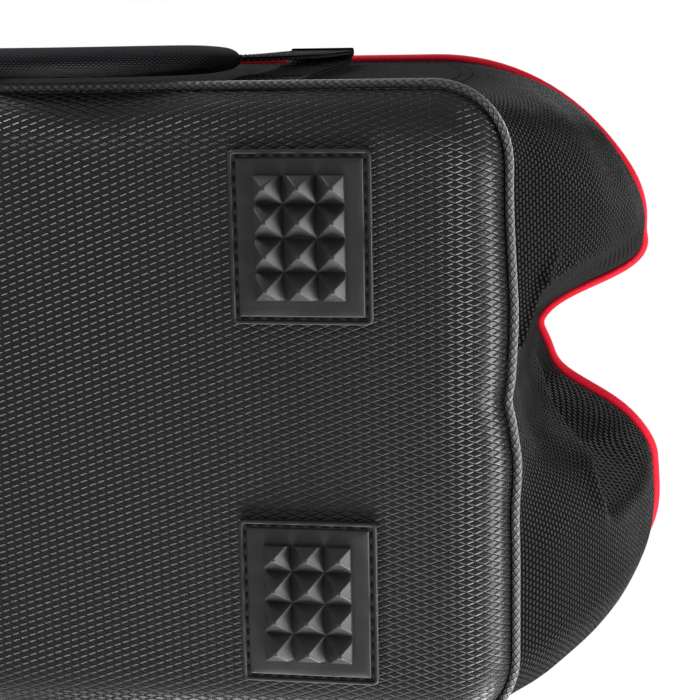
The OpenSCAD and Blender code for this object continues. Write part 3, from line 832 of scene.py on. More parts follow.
def wall_surface(shares, folded):
    """Rows of points of the walls' outer face, with its sharp folds or without."""
    drawn = np.stack([at_height(wall_plan(s), SEAM_Z + WALL_HEIGHT * s) for s in shares])
    share = shares[:, None]
    shaped = drawn.copy()
    for sign, first in ((1, 0), (-1, HALF_COLUMNS)):
        columns = slice(first, first + END_COLUMNS)
        y = drawn[:, columns, 1] * sign
        shift = broad_shift(y, share) + (fold_rise(y, share) if folded else 0)
        shaped[:, columns, 0] += sign * shift
    swell = unevenness(drawn, WALL_SWELL, 4) * off_seams(share, 0.12, 0.08)
    return shaped + level_normals(shaped) * swell[..., None]


def level_normals(grid):
    """Outward unit normals of rows of closed outlines, kept level."""
    normal = outward(grid, True)
    normal[..., 2] = 0
    return normal / np.linalg.norm(normal, axis=2, keepdims=True)


def wall_layer(start_z, end_z, rows, depth):
    """Rows of points a depth inside the walls, from one height to another."""
    shares = (np.linspace(start_z, end_z, rows) - SEAM_Z) / WALL_HEIGHT
    surface = wall_surface(np.clip(shares, 0, 1), False)
    surface[:, :, 2] = np.linspace(start_z, end_z, rows)[:, None]
    return surface - level_normals(surface) * depth


outer_wall = wall_surface(wall_shares, True)
inner_wall = outer_wall - FABRIC * level_normals(outer_wall)
wall_distances = grid_distances(outer_wall, True)
print("wall grid:", outer_wall.shape)

# %% Four wall panels
PANELS = {
    "right_end": (0, END_COLUMNS),
    "back": (END_COLUMNS, HALF_COLUMNS),
    "left_end": (HALF_COLUMNS, HALF_COLUMNS + END_COLUMNS),
    "front": (HALF_COLUMNS + END_COLUMNS, 2 * HALF_COLUMNS),
}


def panel_columns(panel):
    """The columns of one panel, and the same columns counted on past a full turn."""
    first, last = PANELS[panel]
    columns = np.arange(first, last + 1)
    return columns % (2 * HALF_COLUMNS), columns


def grid_area(grid):
    """Area of a grid of points, in square metres."""
    edges = grid * MM
    one, other = edges[1:, 1:] - edges[:-1, :-1], edges[1:, :-1] - edges[:-1, 1:]
    return float(np.linalg.norm(np.cross(one, other), axis=2).sum() / 2)


def declare_sheet(piece, grid, wrapped, held, *rests_on):
    """Prints a cloth's size that its points give, and works out its area."""
    spans = grid_distances(grid, wrapped)
    width = round(float(np.ptp(spans[..., 0])) * MM, 4)
    length = round(float(np.ptp(spans[..., 1], axis=0).max()) * MM, 4)
    whole = joined(grid) if wrapped else grid
    area = min(grid_area(whole), width * length)
    print(piece.name, width, "by", length, "m")


for panel in PANELS:
    columns, counted = panel_columns(panel)
    face, back = outer_wall[:, columns], inner_wall[:, columns]
    span = wall_distances[:, counted]
    cloth = shell(f"{panel}_wall_cloth", face, back, wall_weave, False, span)
    dress(cloth, "bag_body", "woven_fabric", f"{panel}_wall")
    declare_sheet(cloth, face, False, "stretched", f"{panel}_foam")

# %% [markdown]
# Behind the cloth lie four pads of foam and one lining. The lining covers the pads' upper edge
# and ends at the zip's tape.

# %% Wall padding and lining
LAYER_ROWS, FOLD_ROWS = 40, 5
foam_low = low("right_end_foam")[2]
foam_face = wall_layer(foam_low, PADDING_TOP_Z, LAYER_ROWS, FOAM_DEPTH)
foam_back = wall_layer(foam_low, PADDING_TOP_Z, LAYER_ROWS, FOAM_DEPTH + FOAM)
for panel in PANELS:
    columns, _ = panel_columns(panel)
    pad = shell(f"{panel}_pad", foam_face[:, columns], foam_back[:, columns], soft_foam, False)
    dress(pad, "bag_body", "foam", f"{panel}_foam")

lining_top = PADDING_TOP_Z + CLEARANCE


def lining_rows(lift):
    """Rows up the lining and over the padding's edge. lift is the way off the padding."""
    top_z = lining_top + lift
    rise = wall_layer(foam_low, top_z, LAYER_ROWS, LINING_DEPTH + lift)
    # Normals need a second row, so each row over the edge is the upper one of a close pair
    over = [
        wall_layer(top_z - 0.01, top_z, 2, depth)[1]
        for depth in np.linspace(LINING_DEPTH - 0.5, TAPE_DEPTH + TAPE + CLEARANCE, FOLD_ROWS)
    ]
    return np.concatenate([rise, np.stack(over)])


wall_side, room_side = lining_rows(0), lining_rows(LINING)
lining = shell("wall_lining_cloth", wall_side, room_side, lining_knit, True)
dress(lining, "bag_body", "lining", "wall_lining")
declare_sheet(lining, room_side, True, "stretched", "right_end_foam", "back_foam")

# %% [markdown]
# ## Underside
#
# One piece of vinyl is the floor and turns up all round to meet the walls in the base seam. The
# turn is slow at first and upright at the seam, so a curve with two powers draws it. The lattice
# must not stretch over the turn, so the UV map unrolls it: each point keeps its distance from
# the flat along the way that it turns. Between the feet the vinyl lies in shallow waves.

# %% Vinyl base panel
ROLL_ROWS, FLOOR_ROWS, SEAM_TUCK = 40, 14, 0.9
ROLL_RISE = SEAM_Z - UNDERSIDE_Z
ROLL_SLOW, ROLL_UPRIGHT = 2.6, 0.58
FLOOR_LIFT, WAVE_SHARE = 0.3, 0.5


def underside_rows(depth):
    """Rows from the seam round the turn and in over the flat, with the unrolled places."""
    seam, flat = wall_plan(0), wall_plan(0, ROLL_INSET)
    rows, unrolled = [], []
    shares = 1 - np.sin(np.linspace(math.pi / 2, 0, ROLL_ROWS))
    drop = (ROLL_RISE - depth) * (1 - (1 - shares) ** ROLL_SLOW) ** ROLL_UPRIGHT
    reach = ROLL_INSET - depth
    outline = mix(seam, flat, depth / ROLL_INSET)
    steps = np.hypot(np.diff(reach * shares), np.diff(drop))
    beyond = np.concatenate([np.cumsum(steps[::-1])[::-1], [0]])
    direction = (seam - flat) / np.linalg.norm(seam - flat, axis=1, keepdims=True)
    for share, down, rest in zip(shares, drop, beyond):
        rows.append(at_height(mix(outline, flat, share), SEAM_Z - down))
        unrolled.append(flat + direction * rest)
    rows[0] = at_height(mix(rows[0][:, :2], flat, SEAM_TUCK / ROLL_INSET), SEAM_Z)
    for share in np.linspace(1, 0.001, FLOOR_ROWS)[1:]:
        rows.append(at_height(flat * share, UNDERSIDE_Z + depth))
        unrolled.append(flat * share)
    return np.stack(rows), np.stack(unrolled)


def floor_waves(grid):
    """Shallow waves of the flat vinyl, from -0.45 to 0.45."""
    x, y = grid[..., 0], grid[..., 1]
    return 0.25 * np.sin(x / 31 + 0.7) * np.cos(y / 23) + 0.2 * np.sin((x + y) / 47)


outer_rows, unrolled = underside_rows(0)
inner_rows, _ = underside_rows(VINYL_THICKNESS)
for rows in (outer_rows, inner_rows):
    rows[ROLL_ROWS:, :, 2] += FLOOR_LIFT + WAVE_SHARE * floor_waves(rows[ROLL_ROWS:])
panel = shell(
    "vinyl_base", outer_rows[::-1], inner_rows[::-1], embossed_vinyl, True, joined(unrolled)[::-1]
)
dress(panel, "bag_body", "embossed_vinyl", "base_panel")
print("underside:", outer_rows.shape)

# %% [markdown]
# ## Welt and piping
#
# The base seam holds a thin welt of the same vinyl. The rim holds the red piping, a fatter
# cord in satin cloth. Both follow the seams that the wall grid already has, spread outwards by
# their own radius.

# %% Welt and rim piping
seam_line = spread(wall_plan(0), WELT_RADIUS + CLEARANCE / 2)
welt = tube("vinyl_welt", at_height(seam_line, SEAM_Z), WELT_RADIUS, 14, welt_vinyl_painted_lit)
dress(welt, "bag_body", "welt", "base_welt")

rim_line = spread(wall_plan(1, TAPE_DEPTH), PIPING_RADIUS + CLEARANCE)
rim_cord = tube("red_rim_piping", at_height(rim_line, PIPING_Z), PIPING_RADIUS, 18, piping_cloth)
dress(rim_cord, "bag_body", "red_piping", "rim_piping")
print("piping:", round(2 * PIPING_RADIUS, 1), "mm thick")

# %% [markdown]
# ## Rubber feet
#
# A foot is moulded in one piece: a thin raised edge, a groove for the stitches, a panel, and a
# block of three by four pyramid studs whose outer studs are cut off square. The plate is lofted
# from rows of rounded rectangles. A stud is a frustum cut by the block's sides and bevelled, so
# that its ridges catch the light as softened rubber does.

# %% The foot's plate
FOOT_LENGTH, FOOT_WIDTH, FOOT_CORNER = 55, 67, 2.5
FOOT_EDGE, GROOVE, GROOVE_DEPTH = 1.5, 1.5, 0.9
STUD_HEIGHT = 6.2
FLANGE = UNDERSIDE_Z - STUD_HEIGHT
FEET = ("foot_front_right", "foot_front_left", "foot_back_right", "foot_back_left")

# Inset from the foot's edge and height above the vinyl, from the edge to the panel's middle
PLATE_PROFILE = (
    (0.0, -0.4), (0.0, FLANGE - 0.5), (0.12, FLANGE - 0.15), (0.45, FLANGE),
    (FOOT_EDGE - 0.45, FLANGE), (FOOT_EDGE - 0.1, FLANGE - 0.2), (FOOT_EDGE, FLANGE - 0.5),
    (FOOT_EDGE + 0.15, FLANGE - GROOVE_DEPTH), (FOOT_EDGE + GROOVE - 0.15, FLANGE - GROOVE_DEPTH),
    (FOOT_EDGE + GROOVE, FLANGE - 0.5), (FOOT_EDGE + GROOVE + 0.15, FLANGE - 0.18),
    (FOOT_EDGE + GROOVE + 0.6, FLANGE), (6.0, FLANGE), (9.0, FLANGE), (13.0, FLANGE),
    (19.0, FLANGE), (27.0, FLANGE),
)


def plate_outline(inset):
    """The foot's outline, an inset inside."""
    corner = max(FOOT_CORNER - inset, 0.35)
    return oblong(FOOT_LENGTH - 2 * inset, FOOT_WIDTH - 2 * inset, corner, 5, 12)


def add_plate(points, faces):
    """The flange with its edge, groove and slightly wavy panel."""
    count = len(plate_outline(0))
    for inset, height in PLATE_PROFILE:
        x, y = plate_outline(inset).T
        waves = 0.16 * np.sin(x / 5.3 + 1.0) * np.cos(y / 7.1) * (inset > FOOT_EDGE + GROOVE + 0.5)
        points += list(zip(x, y, -height - waves))
    for row in range(len(PLATE_PROFILE) - 1):
        for k in range(count):
            a, b = row * count + k, row * count + (k + 1) % count
            faces.append((a + count, b + count, b, a))
    faces.append([(len(PLATE_PROFILE) - 1) * count + k for k in range(count)][::-1])


# %% Studs under the plate
STUD_PITCH, STUD_TIP, STUD_TRIM, STUD_ROOT, STUD_BEVEL = 13, 1.6, 2.1, 0.5, 0.32
STUD_COLUMNS, STUD_ROWS = 3, 4


def stud_mesh(column, row):
    """One bevelled stud as a bmesh, pointing down, cut by the sides of the block."""
    made = bmesh.new()
    root, tip = STUD_PITCH / 2, STUD_TIP / 2
    grown = root + (root - tip) * STUD_ROOT / STUD_HEIGHT
    rings = [(grown, STUD_ROOT), (tip, -STUD_HEIGHT)]
    turns = ((-1, -1), (1, -1), (1, 1), (-1, 1))
    corners = [[made.verts.new((x * r, y * r, z)) for x, y in turns] for r, z in rings]
    upper, lower = corners
    for k in range(4):
        made.faces.new((upper[k], upper[(k + 1) % 4], lower[(k + 1) % 4], lower[k]))
    made.faces.new(upper)
    made.faces.new(lower[::-1])
    bmesh.ops.translate(made, verts=made.verts, vec=(column * STUD_PITCH, row * STUD_PITCH, 0))
    half_x, half_y = (n * STUD_PITCH / 2 - STUD_TRIM for n in (STUD_COLUMNS, STUD_ROWS))
    for half, out in ((half_x, (1, 0, 0)), (half_x, (-1, 0, 0)), (half_y, (0, 1, 0)),
                      (half_y, (0, -1, 0))):
        everything = made.verts[:] + made.edges[:] + made.faces[:]
        cut = bmesh.ops.bisect_plane(
            made, geom=everything, plane_co=half * Vector(out), plane_no=out, clear_outer=True
        )
        edges = [e for e in cut["geom_cut"] if isinstance(e, bmesh.types.BMEdge)]
        if edges:
            bmesh.ops.edgenet_fill(made, edges=edges)
    bmesh.ops.recalc_face_normals(made, faces=made.faces)
    bmesh.ops.bevel(
        made, geom=made.edges[:], offset=STUD_BEVEL, segments=3, affect="EDGES", profile=0.5,
        clamp_overlap=True,
    )
    return made


def add_studs(points, faces):
    """The block of studs, each moved down to the plate."""
    for row in range(STUD_ROWS):
        for column in range(STUD_COLUMNS):
            stud = stud_mesh(column - (STUD_COLUMNS - 1) / 2, row - (STUD_ROWS - 1) / 2)
            first = len(points)
            points += [(v.co.x, v.co.y, v.co.z - FLANGE) for v in stud.verts]
            faces += [[first + v.index for v in face.verts] for face in stud.faces]
            stud.free()


foot_points, foot_faces = [], []
add_plate(foot_points, foot_faces)
add_studs(foot_points, foot_faces)
foot_points = np.array(foot_points)
print("one foot:", len(foot_faces), "faces")

# %% Place the four feet
for node in FEET:
    points = foot_points + (*centre_of(node)[:2], UNDERSIDE_Z)
    rubber = make_piece(f"{node}_rubber", points, foot_faces, foot_rubber, sharp=52)
    dress(rubber, "bag_body", "foot_rubber", node)

# %% [markdown]
# ## Thread
#
# A stitch is a short fat piece of thread that dives into the cloth at both ends, so one bent
# capsule serves every seam. A run of stitches keeps its pitch along any path. All stitches of a
# seam are one piece, because thousands of small ones would be slow.

# %% Stitches along a path
# Pitch, length of a stitch and radius of its thread, in millimetres
FOOT_STITCH, SEAM_STITCH, BOX_STITCH = (5.0, 3.4, 0.42), (3.6, 2.6, 0.28), (3.0, 2.3, 0.30)


def stitch_run(path, stitch, out):
    """Middle, direction and way out of each stitch along an open path. out may vary."""
    pitch, path = stitch[0], np.asarray(path, float)
    outs = np.broadcast_to(np.asarray(out, float), path.shape)
    places = distances_along(path)
    count = max(1, int(places[-1] // pitch))
    at = (np.arange(count) + 0.5) * places[-1] / count

    def along(values, where):
        return np.stack([np.interp(where, places, values[:, i]) for i in range(3)], 1)

    ahead = along(path, at + pitch * 0.3) - along(path, at - pitch * 0.3)
    ahead /= np.linalg.norm(ahead, axis=1, keepdims=True)
    return list(zip(along(path, at), ahead, along(outs, at)))


def sew(name, stitches, body, stitch, slot="webbing", sides=5):
    """One piece with a bent capsule of thread at each stitch."""
    _, length, radius = stitch
    ring = circle(1, sides)
    middles, aheads, outs = (np.array(values) for values in zip(*stitches))
    around = np.cross(aheads, outs)[:, None] * ring[:, :1] + outs[:, None] * ring[:, 1:]
    rings = []
    for share in (-1, -0.7, -0.25, 0.25, 0.7, 1):
        bow = math.sqrt(max(1 - share * share, 0.02))
        centre = middles + aheads * share * length / 2 + outs * radius * (bow - 0.7)
        rings.append(centre[:, None] + radius * (0.5 + 0.5 * bow) * around)
    points = np.stack(rings, 1)
    per_stitch = len(rings) * sides
    faces = []
    for first in range(0, len(middles) * per_stitch, per_stitch):
        for i in range(len(rings) - 1):
            for k in range(sides):
                a, b = first + i * sides + k, first + i * sides + (k + 1) % sides
                faces.append((a, a + sides, b + sides, b))
        faces.append([first + k for k in range(sides)])
        faces.append([first + per_stitch - sides + k for k in range(sides)][::-1])
    dress(make_piece(name, points.reshape(-1, 3), faces, thread), body, slot)


def closed_run(outline, stitch, out):
    """A stitch run round a closed path."""
    path = np.concatenate([outline, outline[:1]])
    outs = np.concatenate([out, out[:1]]) if np.ndim(out) == 2 else out
    return stitch_run(path, stitch, outs)


# %% Stitches in the feet's grooves
groove_inset = FOOT_EDGE + GROOVE / 2
groove = oblong(FOOT_LENGTH - 2 * groove_inset, FOOT_WIDTH - 2 * groove_inset, 1.2, 3)
for node in FEET:
    loop = at_height(groove + centre_of(node)[:2], UNDERSIDE_Z - FLANGE + GROOVE_DEPTH)
    stitches = closed_run(loop, FOOT_STITCH, (0, 0, -1))
    sew(f"{node}_stitches", stitches, "bag_body", FOOT_STITCH, sides=7)
print("stitches per foot:", len(stitches))

# %% [markdown]
# The walls are topstitched along the rim, and on both sides of each upright seam.

# %% Topstitching on the walls
RIM_STITCH_SHARE, SEAM_APART = 0.965, 2.6
SEWN_ROWS = slice(3, -4)
rim_row = int(np.searchsorted(wall_shares, RIM_STITCH_SHARE))
wall_normals = level_normals(outer_wall)
stitches = closed_run(outer_wall[rim_row], SEAM_STITCH, wall_normals[rim_row])
for panel in PANELS:
    columns, _ = panel_columns(panel)
    seam = columns[0]
    for side in (-1, 1):
        beside = np.roll(outer_wall, -side, 1)[:, seam] - outer_wall[:, seam]
        beside /= np.linalg.norm(beside, axis=1, keepdims=True)
        line = (outer_wall[:, seam] + SEAM_APART * beside)[SEWN_ROWS]
        stitches += stitch_run(line, SEAM_STITCH, wall_normals[SEWN_ROWS, seam])
sew("wall_topstitching", stitches, "bag_body", SEAM_STITCH, "woven_fabric")
print("stitches on the walls:", len(stitches))

# %% [markdown]
# ## Inside the base
#
# A board stiffens the base, a foam pad lies on it, and a lining covers the floor. Each soft
# layer is a slab with a rounded edge. The board is flat and hard and can't be seen, so the
# packed one stays and only gets its finish.


# %% Layers of the floor
def loft(name, rows, material):
    """A closed skin through rows of closed outlines, first the lowest, closed by its end rows."""
    count = rows.shape[1]
    quads, ends = grid_quads(len(rows), count, True)
    distances = joined(rows)[..., :2]
    corners = distances[ends[..., 0], ends[..., 1]].reshape(-1, 2)
    faces = quads.tolist()
    faces.append(list(range(count))[::-1])
    faces.append([(len(rows) - 1) * count + k for k in range(count)])
    corners = np.concatenate([corners, rows[0, ::-1, :2], rows[-1, :, :2]])
    return make_piece(name, rows.reshape(-1, 3), faces, material, corners, 50)


def slab(name, node, material):
    """A level layer with rounded edges, as high and as wide as a node's box."""
    outline, start_z, end_z = floor_outline(node), low(node)[2], high(node)[2]
    corner = (end_z - start_z) / 2
    middle = outline.mean(axis=0)
    rows = [at_height(middle + (outline - middle) * share, start_z) for share in (0.05, 0.5, 0.9)]
    for turn in np.radians(np.linspace(-90, 90, 9)):
        inner = spread(outline, -corner * (1 - math.cos(turn)))
        rows.append(at_height(inner, (start_z + end_z) / 2 + corner * math.sin(turn)))
    for share in (0.92, 0.75, 0.5, 0.25, 0.05):
        rows.append(at_height(middle + (outline - middle) * share, end_z))
    return loft(name, np.stack(rows), material)


def floor_outline(node):
    """The seam's outline, as far in as a node's box says."""
    half_x, half_y = high(node)[:2]
    corner = BASE_CORNER - (HALF_LENGTH - half_x)
    return oblong(2 * half_x, 2 * half_y, max(corner, 2), 10)


pad = slab("floor_pad", "base_foam", soft_foam)
dress(pad, "bag_body", "foam", "base_foam")
carpet = slab("floor_cloth", "floor_lining", lining_knit)
dress(carpet, "bag_body", "lining", "floor_lining")


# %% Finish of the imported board
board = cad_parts["base_board"]
if not board.material_slots:
    board.data.materials.append(stiff_board)
for place in board.material_slots:
    place.link = "OBJECT"
    place.material = stiff_board
print("floor:", len(pad.data.vertices) + len(carpet.data.vertices), "points")

# %% [markdown]
# ## Zip
#
# Two woven tapes run from one back corner round the front to the other. Each carries a coil: a
# fine round wire wound into a flattened helix, so that the closed halves interlock. Two metal
# sliders meet at the middle of the front.

# %% Tapes and coils
ZIP_COLUMNS = np.arange(HALF_COLUMNS, 2 * HALF_COLUMNS + END_COLUMNS + 1) % (2 * HALF_COLUMNS)
ZIP_Z = (high("zip_coil_lower")[2] + low("zip_coil_upper")[2]) / 2
COIL_PITCH, WIRE, MESHING, TURN_POINTS = 1.9, 0.42, 0.45, 8


def rim_path(depth, z):
    """The rim's outline as points, a depth inside."""
    return at_height(wall_plan(1, depth), z)


def zip_tape(node, body):
    """A flat tape as high as its node's box."""
    heights = np.linspace(low(node)[2], high(node)[2], 7)
    face = np.stack([rim_path(TAPE_DEPTH, z)[ZIP_COLUMNS] for z in heights])
    back = np.stack([rim_path(TAPE_DEPTH + TAPE, z)[ZIP_COLUMNS] for z in heights])
    tape = shell(f"{node}_cloth", face, back, tape_weave, False)
    dress(tape, body, "zip_tape", node)


def zip_coil(node, body, meshing):
    """A flattened helix. meshing is how far it reaches towards its partner."""
    line = rim_path(COIL_DEPTH + COIL / 2, centre_of(node)[2] + meshing / 2)[ZIP_COLUMNS]
    path = resampled(line, COIL_PITCH / TURN_POINTS)[TURN_POINTS:-TURN_POINTS]
    ahead = directions(path)
    side = np.cross(ahead, (0, 0, 1))
    turn = 2 * math.pi * np.arange(len(path))[:, None] / TURN_POINTS
    turn += math.pi if meshing > 0 else 0
    wide, tall = COIL / 2 - WIRE, COIL / 2 - WIRE + abs(meshing) / 2
    wound = path + side * wide * np.cos(turn) + np.sin(turn) * tall * np.array((0, 0, 1.0))
    along = directions(wound)
    rise = ahead - along * np.sum(ahead * along, axis=1, keepdims=True)
    rise /= np.linalg.norm(rise, axis=1, keepdims=True)
    coil = sweep(f"{node}_wire", wound, np.cross(along, rise), rise, circle(WIRE, 5), coil_plastic)
    dress(coil, body, "zip_coil", node)
    print(node, len(path) // TURN_POINTS, "turns")


zip_tape("zip_tape_lower", "bag_body")
zip_tape("zip_tape_upper", "lid")
zip_coil("zip_coil_lower", "bag_body", MESHING)
zip_coil("zip_coil_upper", "lid", -MESHING)


# %% [markdown]
# Sliders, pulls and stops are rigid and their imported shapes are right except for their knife
# edges. Copies of those shapes with a small bevel stand for them.


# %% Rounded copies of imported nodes
def rounded(node, name, material, width):
    """A copy of a node's mesh with its edges rounded by a width in millimetres."""
    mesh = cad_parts[node].data.copy()
    mesh.materials.clear()
    mesh.materials.append(material)
    piece = bpy.data.objects.new(name, mesh)
    bpy.context.scene.collection.objects.link(piece)
    weld = piece.modifiers.new("weld", "WELD")
    weld.merge_threshold = 0.01 * MM
    flat = piece.modifiers.new("flat", "DECIMATE")
    flat.decimate_type = "DISSOLVE"
    flat.angle_limit = math.radians(1)
    bevel = piece.modifiers.new("bevel", "BEVEL")
    bevel.width = width * MM
    bevel.segments = 2
    bevel.limit_method = "ANGLE"
    bevel.angle_limit = math.radians(25)
    evaluated = piece.evaluated_get(bpy.context.evaluated_depsgraph_get())
    final = bpy.data.meshes.new_from_object(evaluated)
    piece.modifiers.clear()
    piece.data = final
    final.shade_smooth()
    final.set_sharp_from_angle(angle=math.radians(40))
    return piece


for side in ("right", "left"):
    slider = rounded(f"slider_{side}", f"slider_{side}_metal", slider_paint, 0.3)
    dress(slider, f"zip_slider_{side}", "slider_metal", f"slider_{side}")
    pull = rounded(f"pull_{side}", f"pull_{side}_metal", pull_alloy, 0.3)
    dress(pull, f"zip_pull_{side}", "pull_metal", f"pull_{side}")
stops = rounded("zip_stops", "zip_stops_metal", pull_alloy, 0.25)
dress(stops, "bag_body", "slider_metal", "zip_stops")

# %% [markdown]
# ## Hinge strip
#
# At the back, where the zip ends, one strip of tape joins the lid to the walls. It bows out a
# little where the zip runs.

# %% Hinge strip between walls and lid
HINGE_BOW, HINGE_REACH = 0.5, 2.5
hinge_columns = np.arange(END_COLUMNS, HALF_COLUMNS + 1)
hinge_low, hinge_high = low("hinge_strip_lower")[2], high("hinge_strip_upper")[2]
heights = np.concatenate([
    np.linspace(hinge_low, ZIP_Z - 4, 4), np.linspace(ZIP_Z - 3, ZIP_Z + 3, 9),
    np.linspace(ZIP_Z + 4, hinge_high, 4),
])
bow = HINGE_BOW * bell(heights - ZIP_Z, HINGE_REACH)
face = np.stack([rim_path(TAPE_DEPTH - b, z)[hinge_columns] for b, z in zip(bow, heights)])
back = np.stack([rim_path(TAPE_DEPTH + TAPE - b, z)[hinge_columns] for b, z in zip(bow, heights)])
strip = shell("hinge_cloth", face, back, tape_weave, False)
strip_y = face[0, 0, 1] * MM
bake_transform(strip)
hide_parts("hinge_strip_lower", "hinge_strip_upper")
declare_sheet(strip, face, False, "stretched", "back_wall")

# %% [markdown]
# ## Lid
#
# The lid repeats the walls' construction: a band that curves in from the zip to the top seam, a
# crowned top, foam and a lining. Its band is a quarter of an ellipse in section, and the top is
# quilted by one line of stitches inside its edge.

# %% Rows of the lid
BAND_ROWS, TOP_ROWS, TOP_END = 26, 34, 0.002
BAND_SWELL, TOP_SWELL = (0.4, 8), (0.5, 9)
QUILT_SHARE, QUILT_DEPTH, QUILT_REACH = 0.80, 1.6, 0.035
LINING_EDGE_DEPTH = 2.7


def band_row(turn, depth):
    """One row of the band, at a turn of its quarter ellipse."""
    share = 1 - math.cos(turn)
    z = LID_SKIN_Z + (BAND_HEIGHT - depth) * math.sin(turn)
    return at_height(lid_plan(share, depth * math.cos(turn)), z)


def top_row(share, depth):
    """One row of the crowned top, dipped where the quilting line runs."""
    dip = QUILT_DEPTH * bell(share - QUILT_SHARE, QUILT_REACH)
    z = LID_SEAM_Z + LID_CROWN * (1 - share**2) - depth - dip
    return at_height(lid_plan(1, 0) * share, z)


def lid_swell(rows, strength, seed):
    """Soft swells of the padded lid, none at its edges."""
    hold = np.sin(np.linspace(0, math.pi, len(rows)))[:, None]
    moved = rows.copy()
    moved[..., 2] += unevenness(rows, strength, seed) * hold
    return moved


def band_rows(depth, start_z):
    """The band's rows from a height up to the top seam."""
    start = math.asin(min(1, (start_z - LID_SKIN_Z) / (BAND_HEIGHT - depth)))
    turns = np.linspace(start, math.pi / 2, BAND_ROWS)
    return np.stack([band_row(turn, depth) for turn in turns])


def top_rows(depth):
    """The top's rows from its seam in to the middle."""
    return np.stack([top_row(share, depth) for share in np.linspace(1, TOP_END, TOP_ROWS)])


# %% Lid cloth
band_face = lid_swell(band_rows(0, LID_SKIN_Z), *BAND_SWELL)
band_back = lid_swell(band_rows(FABRIC, LID_SKIN_Z), *BAND_SWELL)
band = shell("lid_band_cloth", band_face, band_back, wall_weave, True)
dress(band, "lid", "woven_fabric", "lid_band")
declare_sheet(band, band_face, True, "stretched", "lid_foam")

top_face, top_back = (lid_swell(top_rows(depth), *TOP_SWELL) for depth in (0, FABRIC))
top = shell("lid_top_cloth", top_face, top_back, wall_weave, True, joined(top_face)[..., :2])
dress(top, "lid", "woven_fabric", "lid_top")
lid_size = 2 * abs(top_face[0, :, :2]).max(axis=0) * MM

lid_cord = tube("red_lid_piping", at_height(lid_plan(1, 0), LID_PIPING_Z), PIPING_RADIUS, 18,
                piping_cloth)
dress(lid_cord, "lid", "red_piping", "lid_piping")

# %% Lid padding and lining
def lid_layer(depth, start_z):
    """Rows up the band and in over the top, a depth inside the cloth."""
    return np.concatenate([band_rows(depth, start_z), top_rows(depth)[1:]])


face, back = lid_layer(FOAM_DEPTH, LID_PADDING_Z), lid_layer(FOAM_DEPTH + FOAM, LID_PADDING_Z)
lid_pad = shell("lid_pad", face, back, soft_foam, True)
dress(lid_pad, "lid", "foam", "lid_foam")


def lid_lining_rows(lift):
    """Rows from the band's edge over the padding's edge and up to the middle."""
    start = LID_PADDING_Z - CLEARANCE - lift
    depths = np.linspace(LINING_EDGE_DEPTH, LINING_DEPTH + lift - 0.4, FOLD_ROWS)
    edge = np.stack([band_rows(depth, start)[0] for depth in depths])
    return np.concatenate([edge, lid_layer(LINING_DEPTH + lift, start)])


outside, inside = lid_lining_rows(0), lid_lining_rows(LINING)
lid_cloth = shell("lid_lining_cloth", outside, inside, lining_knit, True)
dress(lid_cloth, "lid", "lining", "lid_lining")
declare_sheet(lid_cloth, outside, True, "stretched", "lid_foam")

# %% Topstitching on the lid
band_out = outward(band_face, True)
stitches = []
for row in (4, BAND_ROWS - 4):
    stitches += closed_run(band_face[row], SEAM_STITCH, band_out[row])
quilt_row = round((1 - QUILT_SHARE) * (TOP_ROWS - 1) / (1 - TOP_END))
for row in (2, quilt_row):
    stitches += closed_run(top_face[row], SEAM_STITCH, (0, 0, 1))
sew("lid_topstitching", stitches, "lid", SEAM_STITCH, "woven_fabric")
print("stitches on the lid:", len(stitches))

# %% [markdown]
# ## Webbing and handles
#
# Two straps are sewn up each long wall and end in a fold that a handle swings from. The strap's
# section is an oblong with rounded edges, swept along its path. A stitched box with a cross
# holds each end, as on any load-bearing strap.

# %% Sewn straps
STRAP_LOW_Z = low("front_webbing")[2]
FOLD_Z, FOLD_Y, FOLD_RADIUS, LEAN_HEIGHT = 184.0, 139.2, 1.2, 16
STANDOFF, BOX_INSET = 0.35, 3
BOXES = ((STRAP_LOW_Z + 4, STRAP_LOW_Z + 28), (FOLD_Z - 48, FOLD_Z - 24))
STRAP_SECTION = oblong(WEBBING_WIDTH, WEBBING, 0.8, 3)


def wall_y(z):
    """How far out a long wall is drawn at a height."""
    return HALF_WIDTH + RIM_FLARE * (z - SEAM_Z) / WALL_HEIGHT


def strap_path():
    """Middle of the sewn strap: up the wall, then out and over in a half-round fold."""
    middle, lean_z = STANDOFF + WEBBING / 2, FOLD_Z - LEAN_HEIGHT
    up = [(wall_y(z) + middle, z) for z in np.linspace(STRAP_LOW_Z, lean_z, 12)]
    foot_y, top_y = wall_y(lean_z) + middle, FOLD_Y - FOLD_RADIUS
    lean = [
        (mix(foot_y, top_y, ease(s)), lean_z + LEAN_HEIGHT * s) for s in (0.25, 0.5, 0.75, 0.95)
    ]
    over = [
        (FOLD_Y + FOLD_RADIUS * math.cos(a), FOLD_Z + FOLD_RADIUS * math.sin(a))
        for a in np.radians((160, 125, 90, 55, 20, -20))
    ]
    return np.array(up + lean + over)


def sewn_strap(side, middle_x):
    """One leg of webbing on a long wall. side is -1 on the front and 1 on the back."""
    path = strap_path()
    points = np.stack([np.full(len(path), middle_x), side * path[:, 0], path[:, 1]], 1)
    across = np.tile((-float(side), 0.0, 0.0), (len(path), 1))
    rise = np.cross(directions(points), across)
    name = f"{'front' if side < 0 else 'back'}_strap_{'right' if middle_x > 0 else 'left'}"
    return sweep(name, points, across, rise, STRAP_SECTION, strap_weave)


